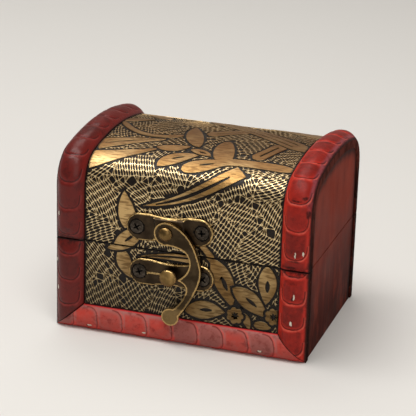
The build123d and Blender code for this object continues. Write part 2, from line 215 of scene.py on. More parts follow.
# The signs + - * / ** between a wire and a wire or a number, each as one Math node
signs = {"add": "ADD", "sub": "SUBTRACT", "mul": "MULTIPLY", "truediv": "DIVIDE", "pow": "POWER"}
for sign, operation in signs.items():
    setattr(Wire, f"__{sign}__", lambda own, other, name=operation: calc(name, own, other))
    setattr(Wire, f"__r{sign}__", lambda own, other, name=operation: calc(name, other, own))


def most(first, *others):
    for other in others:
        first = calc("MAXIMUM", first, other)
    return first


# Materials. Their lengths are in metres, as in the Object coordinates.

def swatch(*channels):
    return tuple(((c / 255 + 0.055) / 1.055) ** 2.4 for c in channels)


def swatches(**tones):
    return {name: swatch(*tone) for name, tone in tones.items()}


def newMaterial(name):
    material = bpy.data.materials.new(name)
    material.use_nodes = True
    nodes = material.node_tree.nodes
    return material, nodes["Principled BSDF"].inputs, Wire(nodes.new("ShaderNodeTexCoord").outputs["Object"])


def noise(place, scale, detail=4.0, roughness=0.55, stretch=(1, 1, 1)):
    turned = addNode(place.tree, "ShaderNodeMapping", Vector=place, Scale=stretch)
    return addNode(place.tree, "ShaderNodeTexNoise", Vector=turned, Scale=scale, Detail=detail,
                   Roughness=roughness)


def ramp(value, low, high, start=0.0, end=1.0):
    settings = {"clamp": True, "interpolation_type": "SMOOTHSTEP"}
    return addNode(value.tree, "ShaderNodeMapRange", 0, settings, Value=value, From_Min=low, From_Max=high,
                   To_Min=start, To_Max=end)


def blend(factor, first, second):
    node = factor.tree.nodes.new("ShaderNodeMix")
    node.data_type = "RGBA"
    feed(node.inputs["Factor"], factor)
    for index, value in ((6, first), (7, second)):
        feed(node.inputs[index], value if isinstance(value, Wire) else (*value, 1.0))
    return Wire(node.outputs[2])


# Tones laid over a colour, each through its mask
def layered(colour, *layers):
    for mask, tone in layers:
        colour = blend(mask, colour, tone)
    return colour


def bump(inputs, height, distance, strength):
    raised = addNode(height.tree, "ShaderNodeBump", Height=height, Distance=distance, Strength=strength)
    fill(inputs, Normal=raised)


def attributes(place, *names):
    return [addNode(place.tree, "ShaderNodeAttribute", "Fac", {"attribute_name": name}) for name in names]


def axesOf(place):
    split = addNode(place.tree, "ShaderNodeSeparateXYZ", Vector=place)
    return [Wire(output) for output in split.socket.node.outputs]


# Worn gold on the raised parts of an embossed sheet, dark ground between them. Rise is
# the height above that ground in millimetres: threads of the net lie lower than motifs.
skinLook = swatches(gold=(166, 128, 76), palegold=(206, 172, 118), oldgold=(104, 74, 40),
                    cream=(238, 214, 166), brown=(118, 72, 36), ground=(15, 10, 7), grime=(40, 30, 22))


def skinMaterial():
    material, inputs, place = newMaterial("embossedGold")
    look = skinLook
    rise, = attributes(place, "rise")
    x, _, z = axesOf(place)
    cloud, grain = noise(place, 70, 3), noise(place, 2600, 2)
    hatch = noise(place, 1700, 2, 0.5, (0.16, 1, 1))
    gold = blend(ramp(cloud, 0.42, 0.64), look["gold"], look["palegold"])
    gold = blend(ramp(hatch, 0.48, 0.62, 0, 0.65), gold, look["oldgold"])
    thread = blend(ramp(rise, 0.165, 0.215), look["palegold"], look["cream"])
    gold = blend(ramp(rise, 0.225, 0.26), thread, gold)
    # Painted reflection: the gold turns browner on the top of the lid, as if reflecting warm surroundings
    gold = blend(ramp(z, 0.0535, 0.0575, 0, 0.55), gold, look["brown"])
    ground = blend(ramp(grain, 0.4, 0.7), look["ground"], look["grime"])
    onTop = ramp(rise + (cloud - 0.5) * 0.18, 0.12, 0.18)
    colour = blend(onTop, ground, gold)
    # Painted shade: lower down, the sheet fades towards its dark ground
    paintedShadeBelow = ramp(z + (cloud - 0.5) * 0.012, 0.048, 0.010, 0, 0.60)
    colour = blend(paintedShadeBelow, colour, look["ground"])
    # Dark margin beside the bindings: a glued seam with painted shadow of the proud strips
    aside = calc("ABSOLUTE", x) + (grain - 0.5) * 0.0008
    seam = ramp(aside, (bandEdge - 0.9) * mm, (bandEdge - 0.2) * mm, 0, 0.9)
    fill(inputs, Base_Color=blend(seam, colour, look["ground"]), Metallic=ramp(onTop, 0, 1, 0.30, 0.80),
         Roughness=ramp(onTop, 0, 1, 0.34, 0.33) + grain * 0.10, Specular_IOR_Level=0.30)
    bump(inputs, grain * 0.4 + hatch, 0.00006, 0.8)
    return material


# Among these tones lip is a painted highlight, crease is partly painted shade, and arched is a painted
# highlight up on the arch
bindingLooks = {
    "bright": swatches(field=(178, 42, 30), scale=(112, 24, 17), other=(134, 30, 22), lip=(204, 88, 72),
                       rim=(186, 50, 42), low=(174, 42, 31), shade=(44, 15, 10), crease=(66, 16, 14),
                       arched=(140, 66, 72)),
    "dark": swatches(field=(108, 24, 19), scale=(80, 20, 15), other=(94, 23, 18), lip=(128, 46, 40),
                     rim=(92, 24, 20), low=(100, 23, 19), shade=(34, 12, 12), crease=(48, 14, 14),
                     arched=(104, 28, 30)),
    # The foot's grey-pink field is partly its own colour and partly a painted highlight on the strip's crown
    "foot": swatches(field=(158, 92, 86), scale=(182, 62, 52), other=(142, 80, 74), lip=(196, 76, 66),
                     rim=(196, 32, 34), low=(192, 52, 44), shade=(176, 44, 40), crease=(100, 22, 20),
                     arched=(192, 52, 44)),
}
spotLook = swatches(chip=(208, 198, 182), black=(20, 9, 8))
# Spots on the front: x, z, half width and half height in millimetres
wornSpots = {
    "bright": [(35.7, 34.4, 0.28, 0.9), (37.9, 35.0, 0.28, 0.9), (35.9, 21.3, 0.28, 0.9),
               (35.3, 12.9, 0.42, 0.8)],
    "dark": [(-38.5, 37.0, 0.28, 0.8), (-39.3, 21.8, 0.25, 0.8), (-38.9, 12.8, 0.28, 0.8)],
    "foot": [(-28.3, 1.9, 0.75, 0.40), (-10.5, 2.3, 0.75, 0.40), (26.1, 2.3, 0.75, 0.40)],
}
darkSmears = {
    "bright": [(35.5, 32.2, 2.1, 0.42), (34.1, 29.9, 1.8, 0.5), (35.0, 50.6, 1.6, 0.35),
               (37.6, 51.5, 0.9, 0.55), (38.8, 46.8, 0.7, 1.3), (35.4, 20.9, 0.35, 1.0)],
    "dark": [(-38.0, 36.8, 0.25, 0.9), (-38.8, 21.4, 0.25, 0.9)],
    "foot": [(-29.0, 1.7, 0.5, 0.35), (25.4, 2.0, 0.5, 0.3)],
}
spotEdge = {"middle": 0.42, "raggedness": 3.4}


def spotMask(place, spots, ragged, soft=0.2):
    x, y, z = axesOf(place)
    marks = []
    for spotX, spotZ, halfX, halfZ in spots:
        across, up = (x - spotX * mm) / (halfX * mm), (z - spotZ * mm) / (halfZ * mm)
        far = across * across + up * up + (ragged - spotEdge["middle"]) * spotEdge["raggedness"]
        marks.append(1.0 - ramp(far, 1 - soft, 1 + soft))
    return most(*marks) * calc("LESS_THAN", y, 0.0)


# Glossy scaled leather. Across is -1 at a strip's inner edge, 0 on its crest and about 1
# at its outer edge.
def bindingMaterial(name, kind, coat):
    material, inputs, place = newMaterial(name)
    look = bindingLooks[kind]
    crease, lip, crown, scaleTint, edge, across, crinkle = attributes(
        place, "crease", "lip", "crown", "scaleTint", "edge", "across", "crinkle")
    cloud, pores, wrinkle = noise(place, 160, 4), noise(place, 1500, 3), noise(place, 620, 4, 0.65)
    scale = blend(ramp(scaleTint + cloud, 0.45, 1.15), look["scale"], look["other"])
    # Painted highlight: up on the arch the outer flank takes the arched tone, as if lit from above
    high = ramp(axesOf(place)[2], 0.044, 0.052) * ramp(across, 0.42, 0.58)
    field = layered(look["field"], (ramp(across, 0.10, 0.45), look["low"]), (high, look["arched"]))
    shade = ramp(across + wrinkle * 0.12, 0.72, 0.92)
    # Dark marks: the smears are dirt; round each chip is a painted shadow; at the edges, seams and the
    # split's crinkles, grime with painted shade
    smear = spotMask(place, darkSmears[kind], wrinkle, 0.8) * 0.85
    chipShadow = spotMask(place, wornSpots[kind], wrinkle, 0.95) * 0.75
    chip = spotMask(place, wornSpots[kind], pores)
    dirt = most(crinkle * ramp(wrinkle, 0.42, 0.60, 0, 0.8),
                ramp(edge, 0.25, 0.9) * ramp(cloud, 0.2, 0.6, 0.7, 1), smear, chipShadow)
    red = layered(
        field,
        (ramp(crown, 0.10, 0.85), scale),
        (ramp(wrinkle, 0.40, 0.72, 0, 0.30), look["field"]),
        (ramp(noise(place, 330, 5, 0.7), 0.50, 0.66, 0, 0.50), look["crease"]),
        (ramp(across, -0.78, -0.90), look["rim"]),
        # Painted highlight on each scale's raised lip; the dark crease is its own darker colour with painted
        # shade in the groove
        (lip * ramp(wrinkle, 0.35, 0.6, 0.15, 0.9), look["lip"]),
        (crease * ramp(wrinkle, 0.25, 0.6, 0.6, 1.0), look["crease"]),
        (shade, look["shade"]),
        (dirt, spotLook["black"]),
        (chip, spotLook["chip"]),
    )
    fill(inputs, Base_Color=red, Roughness=pores * 0.22 + 0.30 + most(dirt, shade) * 0.30,
         Coat_Weight=coat, Coat_Roughness=0.20, Specular_IOR_Level=0.14)
    bump(inputs, pores * 0.35 + wrinkle - chip * 0.8, 0.00013, 0.75)
    return material


# Dull leather turned over the ends, its darkness painted shade with grime at the rough edge, redder up on the
# arch as a painted highlight
edgeLook = swatches(dark=(25, 10, 7), mid=(60, 20, 13), high=(98, 46, 38), fleck=(96, 62, 46))


def turnedEdgeMaterial():
    material, inputs, place = newMaterial("turnedLeatherEdge")
    look = edgeLook
    cloud, pores = noise(place, 420, 5, 0.65, (1, 1, 0.5)), noise(place, 1500, 3)
    # Painted highlight: redder up on the arch, as if lit from above
    high = ramp(axesOf(place)[2], 0.036, 0.050, 0, 0.9) * ramp(cloud, 0.38, 0.60, 0.35, 1)
    colour = layered(look["dark"], (ramp(cloud, 0.42, 0.62), look["mid"]), (high, look["high"]),
                     (ramp(pores, 0.58, 0.70, 0, 0.5), look["fleck"]))
    fill(inputs, Base_Color=colour, Roughness=0.8, Specular_IOR_Level=0.02)
    bump(inputs, cloud + pores * 0.4, 0.00016, 0.8)
    return material


# Smooth paint over board, darker towards the bottom, with faint upright streaks and
# patches and a dark border beside the bindings: dirt and painted shade
paintLook = swatches(maroon=(127, 46, 30), dark=(61, 20, 13), rub=(154, 60, 40), dirt=(30, 16, 13))


def paintMaterial():
    material, inputs, place = newMaterial("maroonPaint")
    look = paintLook
    _, y, z = axesOf(place)
    streak = noise(place, 420, 4, 0.6, (1, 1, 0.09))
    patch = noise(place, 150, 5, 0.6, (1, 1, 0.4))
    cloud, speck = noise(place, 60, 3), noise(place, 1800, 2)
    upward = z - (lidTop - lidShape["crownRadius"]) * mm
    arched = lidShape["crownRadius"] * mm - calc("SQRT", upward * upward + y * y)
    border = calc("SMOOTH_MIN", halfDepth * mm - calc("ABSOLUTE", y), arched, 0.006)
    border = border + (streak - 0.5) * 0.0022
    colour = layered(
        look["dark"],
        (ramp(z + cloud * 0.016, 0.012, 0.054), look["maroon"]),
        (ramp(streak, 0.48, 0.75, 0, 0.25), look["rub"]),
        (ramp(patch, 0.48, 0.68, 0, 0.32), look["rub"]),
        (ramp(patch, 0.46, 0.30, 0, 0.24), look["dark"]),
        # Dark border beside the bindings: dirt and painted shade
        (ramp(border, 0.0055, 0.0090, 0.9, 0), look["dirt"]),
    )
    fill(inputs, Base_Color=colour, Roughness=ramp(cloud, 0.2, 0.8, 0.46, 0.62), Specular_IOR_Level=0.02)
    bump(inputs, streak * 0.8 + speck, 0.00004, 0.5)
    return material


boardLook = {"grain": (0.085, 0.042, 0.022), "pale": (0.20, 0.115, 0.062)}


def boardMaterial():
    material, inputs, place = newMaterial("stainedBoard")
    fibre, cloud = noise(place, 260, 5, 0.6, (0.12, 1, 1)), noise(place, 90, 3)
    colour = layered(boardLook["grain"], (ramp(fibre, 0.35, 0.68), boardLook["pale"]),
                     (ramp(cloud, 0.3, 0.7, 0, 0.5), boardLook["grain"]))
    fill(inputs, Base_Color=colour, Roughness=0.62)
    bump(inputs, fibre, 0.00008, 0.6)
    return material


liningLook = {"nap": (0.012, 0.010, 0.009), "lint": (0.032, 0.026, 0.022)}


def liningMaterial():
    material, inputs, place = newMaterial("flockedLining")
    nap, cloud = noise(place, 2400, 4, 0.7), noise(place, 110, 3)
    colour = layered(liningLook["nap"], (ramp(nap, 0.4, 0.7), liningLook["lint"]),
                     (ramp(cloud, 0.45, 0.7, 0, 0.4), liningLook["lint"]))
    fill(inputs, Base_Color=colour, Roughness=0.95, Sheen_Weight=0.12, Sheen_Roughness=0.5,
         Specular_IOR_Level=0.15)
    bump(inputs, nap, 0.00012, 0.9)
    return material


# Plated metal: dark in the flats, rubbed bright where the worn attribute is high, black
# where it is below zero, and bright too on the hook's tab, which fingers handle
# The grime tone, for worn below zero, is also painted shade in the screw drives
metalLook = {"grime": (0.004, 0.004, 0.004), "tabTop": 0.0145, "tabMiddle": 0.0110}


def platedMaterial(name, dark, mid, bright, roughness, rubbed=1.0, handled=0.0):
    material, inputs, place = newMaterial(name)
    worn, = attributes(place, "worn")
    cloud, speck = noise(place, 240, 4), noise(place, 1700, 4, 0.65)
    colour = blend(ramp(cloud, 0.36, 0.66), dark, mid)
    colour = blend(ramp(worn, -0.8, -0.2), metalLook["grime"], colour)
    shine = ramp(worn + (speck - 0.5) * 0.9, 0.35, 0.75) * rubbed
    if handled:
        touched = ramp(axesOf(place)[2], metalLook["tabTop"], metalLook["tabMiddle"], 0, handled)
        shine = most(shine, touched * ramp(speck, 0.3, 0.7, 0.7, 1))
    rough = ramp(cloud, 0.3, 0.7, roughness, roughness + 0.12) + speck * 0.08
    fill(inputs, Base_Color=blend(shine, colour, bright), Metallic=1.0, Roughness=rough - shine * 0.10)
    bump(inputs, speck * 0.4 + cloud, 0.00006, 0.5)
    return material


skinGold = skinMaterial()
brightLeather = bindingMaterial("scaledLeatherBright", "bright", 0.03)
footLeather = bindingMaterial("scaledLeatherFoot", "foot", 0.0)
darkLeather = bindingMaterial("scaledLeatherDark", "dark", 0.22)
turnedEdge = turnedEdgeMaterial()
maroonPaint = paintMaterial()
stainedBoard = boardMaterial()
flockedLining = liningMaterial()
latchBronze, hookBronze, studBrass, hingeBrass, screwBlack = (platedMaterial(*plan) for plan in (
    ("latchBronze", (0.028, 0.019, 0.012), (0.060, 0.041, 0.024), (0.50, 0.34, 0.14), 0.26),
    ("hookBronze", (0.034, 0.023, 0.013), (0.074, 0.051, 0.028), (0.46, 0.30, 0.12), 0.28, 1.0, 0.4),
    ("studBrass", (0.15, 0.092, 0.034), (0.36, 0.225, 0.080), (0.68, 0.46, 0.19), 0.27),
    ("hingeBrass", (0.12, 0.085, 0.045), (0.25, 0.18, 0.09), (0.58, 0.43, 0.22), 0.34),
    ("screwBlack", (0.034, 0.027, 0.021), (0.064, 0.052, 0.041), (0.26, 0.22, 0.17), 0.36, 0.6),
))
print("materials made")


# Ornament of the skins. Places are in millimetres on the unrolled skin: x across,
# y up from the front rim. Each motif is a list of outlines with slits cut in them.

def spine(start, tip, bend, count):
    u = np.linspace(0, 1, count)[:, None]
    start, tip = np.array(start, float), np.array(tip, float)
    along = tip - start
    across = np.array([-along[1], along[0]]) / np.linalg.norm(along)
    middle = (start + tip) / 2 + 2 * bend * across
    line = (1 - u) ** 2 * start + 2 * u * (1 - u) * middle + u ** 2 * tip
    return line, sideways(line)


def sideways(line):
    step = np.gradient(line, axis=0)
    step /= np.linalg.norm(step, axis=1)[:, None]
    return np.stack([-step[:, 1], step[:, 0]], 1)


def strip(line, normal, half):
    return np.concatenate([line + normal * half[:, None], (line - normal * half[:, None])[::-1]])


def leaf(start, tip, width, bend=0.0, eye=0.0, blunt=0.0):
    line, normal = spine(start, tip, bend, 19)
    u = np.linspace(0, 1, 19)
    half = width / 2 * np.sin(math.pi * u ** 0.85) ** (0.85 - blunt)
    outline = strip(line[1:-1], normal[1:-1], half[1:-1])
    outline = np.concatenate([outline[:17], line[-1:], outline[17:], line[:1]])
    slits = []
    if eye:
        slits.append(strip(line[7:13], normal[7:13], eye / 2 * np.sin(np.linspace(0.25, 2.9, 6))))
    return [outline], slits


def blade(start, tip, width, bend=0.0, split=0.0):
    line, normal = spine(start, tip, bend, 25)
    u = np.linspace(0, 1, 25)
    half = width / 2 * (1 - u) ** 0.75 + 0.02
    slits = []
    if split:
        slits.append(strip(line[3:22], normal[3:22], split / 2 * np.sin(np.linspace(0.5, 2.9, 19))))
    return [strip(line, normal, half)], slits


def stem(points, width, split=0.0, waist=0.45, lanes=(0.0,)):
    points = [np.array(p, float) for p in points]
    ends = [2 * points[0] - points[1], *points, 2 * points[-1] - points[-2]]
    line = []
    for a, b, c, d in zip(ends, ends[1:], ends[2:], ends[3:]):
        for u in np.linspace(0, 1, 9)[:-1]:
            line.append(0.5 * (2 * b + (c - a) * u + (2 * a - 5 * b + 4 * c - d) * u ** 2
                               + (3 * b - a - 3 * c + d) * u ** 3))
    line = np.array(line + [points[-1]])
    normal = sideways(line)
    u = np.linspace(0, 1, len(line))
    half = width / 2 * (1 - waist * np.sin(math.pi * u)) * np.minimum(1, 0.35 + 6 * np.minimum(u, 1 - u))
    slits = []
    if split:
        slits = [strip((line + normal * lane * width)[3:-3], normal[3:-3], np.full(len(line) - 6, split / 2))
                 for lane in lanes]
    return [strip(line, normal, half)], slits


def blossom(centre, radius, petals=7):
    angle = np.linspace(0, 2 * math.pi, petals * 8, endpoint=False)
    spoke = np.stack([np.cos(angle), np.sin(angle)], 1) * radius
    edge = 0.82 + 0.18 * np.abs(np.cos(petals * angle / 2))
    star = 0.27 + 0.13 * np.cos(petals * angle)
    return [np.array(centre) + spoke * edge[:, None]], [np.array(centre) + spoke * star[:, None]]


# Several shapes as one raised body
def together(*shapes):
    return [[ring for shape in shapes for ring in shape[part]] for part in (0, 1)]


lidOrnament = [
    stem([(-31.5, 55.0), (-25.5, 47.8), (-19.0, 44.4), (-12.0, 45.0), (-8.0, 47.6)], 2.4, waist=0.2),
    leaf((-31.5, 54.5), (-22.5, 61.0), 3.6, 0.5),
    stem([(-1.8, 50.6), (4.0, 55.8), (9.4, 60.2)], 4.8, 0.60, 0.1),
    stem([(17.6, 36.2), (20.4, 42.6), (23.0, 49.2)], 5.0, 0.60, 0.1),
    stem([(31.5, 46.6), (18.0, 56.0), (4.0, 65.6), (-7.0, 72.0)], 6.6, 0.50, 0.1, (-0.18, 0.18)),
    leaf((-0.8, 39.6), (-7.4, 57.0), 5.6, 1.0, 0.0, 0.10),
    blade((-31.5, 33.6), (-12.2, 42.2), 6.8, 0.6, 0.70),
    blade((-31.5, 25.8), (-12.2, 35.4), 7.0, -0.7),
    leaf((-13.4, 36.4), (-3.2, 39.4), 4.0, -0.9),
    leaf((-9.8, 26.2), (1.2, 34.6), 5.6, 1.1, 0.9),
    leaf((-2.8, 37.4), (5.0, 34.6), 3.2, 0.4, 0.8),
    together(
        leaf((-2.2, 26.0), (11.5, 32.4), 5.8, 0.4, 1.0, 0.30),
        leaf((10.0, 31.2), (6.4, 46.8), 6.6, 0.9, 0.0, 0.35),
        stem([(6.5, 31.0), (11.5, 32.6), (20.0, 33.0), (31.5, 32.2)], 4.4, waist=0.1),
    ),
    blade((16.2, 28.4), (-12.2, 13.4), 5.4, 2.3, 0.95),
    leaf((-15.6, 4.0), (-18.2, 17.4), 5.6, 0.5),
    leaf((-21.5, -2.6), (-11.0, 6.6), 5.4, 0.5, 0.7),
    stem([(3.0, 6.4), (7.2, 2.6), (10.2, -0.8)], 2.4, waist=0.2),
    stem([(-31.5, 70.0), (-18.0, 73.0), (-4.0, 79.0), (10.0, 86.0), (31.5, 90.5)], 3.2),
    blade((31.5, 66.0), (8.0, 77.0), 6.4, 1.6, 0.45),
    leaf((-6.0, 80.0), (-18.0, 87.5), 6.2, 0.6, 0.8),
    leaf((-18.0, 64.5), (-27.5, 69.0), 5.2, -0.6, 0.7),
    blossom((-6.5, 92.0), 3.3),
    blossom((4.0, 89.6), 2.7),
    leaf((13.0, 91.5), (25.5, 99.0), 6.2, -0.6, 0.8),
    leaf((-12.5, 93.5), (-25.5, 97.0), 5.6, 0.5, 0.7),
]

frontOrnament = [
    leaf((-19.0, 20.2), (-15.6, 10.6), 4.8, -0.6),
    leaf((-23.5, 19.2), (-13.0, 22.5), 3.2, 0.2),
    blade((6.0, 19.6), (-13.5, 18.0), 3.4, -0.5, 0.4),
    together(
        stem([(8.4, 21.9), (10.2, 19.6), (12.2, 16.4)], 2.6, waist=0.1),
        leaf((9.6, 20.6), (16.4, 6.2), 6.2, 0.7, 1.2, 0.1),
    ),
    leaf((26.6, 20.9), (26.6, 8.4), 5.8, 0.5, 1.2),
    leaf((16.2, 12.4), (27.4, 4.4), 6.0, 0.5, 1.0),
    leaf((1.6, 2.6), (14.4, 4.0), 6.0, 0.7, 1.0),
    leaf((19.8, 5.0), (22.0, -0.4), 2.6, 0.2),
    leaf((23.2, 1.6), (28.8, 1.4), 2.8, 0.2, 0.0, 0.3),
    blossom((17.4, 3.6), 2.8),
    blossom((29.3, 5.0), 2.8),
]

backOrnament = [
    stem([(-31.5, 2.0), (-18.0, 6.5), (-4.0, 4.0), (12.0, 9.0), (31.5, 6.5)], 2.8),
    leaf((-24.0, 7.0), (-15.0, 17.0), 6.0, 0.5, 0.9),
    leaf((-8.0, 6.5), (-14.0, 15.5), 5.2, -0.4, 0.8),
    leaf((2.0, 8.5), (8.5, 18.5), 5.6, 0.6, 0.9),
    leaf((18.0, 9.0), (27.0, 17.0), 6.0, -0.5, 1.0),
    leaf((13.5, 6.0), (23.0, 1.2), 4.6, 0.4, 0.8),
    blossom((-3.0, 14.5), 2.8),
    blossom((15.5, 15.8), 2.6),
    blossom((-26.5, 15.5), 2.5),
    blade((-9.0, 0.8), (8.0, 2.6), 2.6, 0.6),
]

emboss = {
    "cell": 1.27, "patch": 10.0, "jitter": 0.10, "bend": 0.030, "aspect": (1.5, 2.9), "lean": 0.7,
    "turn": (0.45, 1.25), "spread": 0.12, "reach": 2.6,
    "knot": 0.125, "line": 0.048, "slope": 0.080, "sag": 0.05, "rise": 0.22, "halved": 0.70,
    "moat": 0.55, "bevel": 0.14, "motifRise": 0.30, "sheet": 0.75, "seatStep": 2.0,
    "scatter": 0.35, "margin": 3.0, "patchReach": 1.4, "near": 1e-4,
}


# Lines of the net: leaning grids, patch by patch, each turned, stretched and bent its
# own way, with short ties between the grids of neighbouring patches
def netLines(width, length, seed):
    draw = np.random.default_rng(seed)
    columns = max(2, round(width / emboss["patch"]))
    rows = max(2, round(length / emboss["patch"]))
    centres = np.array([
        ((i + 0.5) * width / columns - width / 2, (j + 0.5) * length / rows)
        for i in range(columns) for j in range(rows)
    ])
    centres += draw.uniform(-emboss["scatter"], emboss["scatter"], centres.shape) * emboss["patch"]
    margin, reach = emboss["margin"], emboss["patch"] * emboss["patchReach"]
    points, owners, ties = [], [], []
    count = 0
    for number, centre in enumerate(centres):
        angle = draw.uniform(*emboss["turn"]) * draw.choice([-1, 1])
        aspect = draw.uniform(*emboss["aspect"])
        lean = draw.uniform(-1, 1) * emboss["lean"]
        bend = draw.uniform(-1, 1) * emboss["bend"]
        long, short = emboss["cell"] * math.sqrt(aspect), emboss["cell"] / math.sqrt(aspect)
        i, j = np.meshgrid(np.arange(-int(reach / long), int(reach / long) + 1),
                           np.arange(-int(reach / short), int(reach / short) + 1))
        v = j * short + draw.normal(0, emboss["jitter"] * short, i.shape)
        u = i * long + v * lean + draw.normal(0, emboss["jitter"] * long, i.shape)
        v = v + bend * u * u
        spots = centre + np.stack([u * math.cos(angle) - v * math.sin(angle),
                                   u * math.sin(angle) + v * math.cos(angle)], -1)
        flat = spots.reshape(-1, 2)
        gaps = np.linalg.norm(flat[:, None] - centres[None], axis=2)
        own = gaps[:, number].copy()
        gaps[:, number] = np.inf
        kept = ((np.abs(flat[:, 0]) < width / 2 + margin) & (flat[:, 1] > -margin)
                & (flat[:, 1] < length + margin) & (own < gaps.min(1) - emboss["spread"]))
        names = np.full(len(flat), -1)
        names[kept] = np.arange(kept.sum()) + count
        names = names.reshape(i.shape)
        for first, second in ((names[:, :-1], names[:, 1:]), (names[:-1], names[1:])):
            both = (first >= 0) & (second >= 0)
            ties.append(np.stack([first[both], second[both]], 1))
        points.append(flat[kept])
        owners.append(np.full(kept.sum(), number))
        count += kept.sum()
    points, owners, ties = np.concatenate(points), np.concatenate(owners), np.concatenate(ties)
    made = geometry.delaunay_2d_cdt([Vector(p) for p in points], ties.tolist(), [], 0, 1e-6, True)
    nodes = np.array([tuple(c) for c in made[0]])
    owner = np.array([owners[source[0]] if source else -1 for source in made[3]])
    lines = {tuple(sorted(line)) for line, sources in zip(made[1], made[4]) if sources}
    ties, longest = set(), {}
    for triangle in made[2]:
        if len({owner[k] for k in triangle}) > 1:
            sides = [tuple(sorted(pair)) for pair in itertools.combinations(triangle, 2)]
            size = {side: np.linalg.norm(nodes[side[0]] - nodes[side[1]]) for side in sides}
            ties.update(side for side in sides if size[side] < emboss["reach"])
            side = max(sides, key=size.get)
            longest[side] = longest.get(side, 0) + 1
    lines = np.array(sorted(lines | {side for side in ties if longest.get(side, 0) < 2}))
    long = np.linalg.norm(nodes[lines[:, 0]] - nodes[lines[:, 1]], axis=1) > emboss["halved"]
    short, long = lines[~long], lines[long]
    middles = np.arange(len(long)) + len(nodes)
    nodes = np.concatenate([nodes, nodes[long].mean(1)])
    halves = [np.stack([long[:, 0], middles], 1), np.stack([middles, long[:, 1]], 1)]
    return nodes, np.concatenate([short, *halves]), middles


def isInside(spots, outline):
    x, y = spots[:, :1], spots[:, 1:]
    a, b = outline, np.roll(outline, -1, axis=0)
    rise = np.where(b[:, 1] == a[:, 1], 1e-9, b[:, 1] - a[:, 1])
    crossed = ((a[:, 1] > y) != (b[:, 1] > y)) & (x < (b[:, 0] - a[:, 0]) * (y - a[:, 1]) / rise + a[:, 0])
    return crossed.sum(1) % 2 == 1


def turnsLeft(outline):
    following = np.roll(outline, -1, axis=0)
    return (outline[:, 0] * following[:, 1] - following[:, 0] * outline[:, 1]).sum() > 0


# Outline moved inwards by a distance, each corner along its middle line
def inset(outline, distance, limit=0.45):
    step = np.roll(outline, -1, axis=0) - outline
    step /= np.maximum(np.linalg.norm(step, axis=1), 1e-9)[:, None]
    normal = np.stack([-step[:, 1], step[:, 0]], 1)
    before = np.roll(normal, 1, axis=0)
    distance = np.broadcast_to(distance, len(outline))
    middle = (normal + before) * (distance / np.maximum(1 + (normal * before).sum(1), 0.35))[:, None]
    room = np.linalg.norm(outline.mean(0) - outline, axis=1) * limit
    size = np.maximum(np.linalg.norm(middle, axis=1), 1e-9)
    share = np.where(distance > 0, np.minimum(1, room / size), 1)
    return outline + middle * share[:, None]


# Middle of the largest triangle of a face
def faceMiddle(ring):
    parts = geometry.tessellate_polygon([ring])
    sizes = [abs((ring[q] - ring[p]).cross(ring[r] - ring[p]).z) for p, q, r in parts]
    p, q, r = parts[int(np.argmax(sizes))] if parts else (0, 1, 2)
    return ((ring[p] + ring[q] + ring[r]) / 3)[:2]


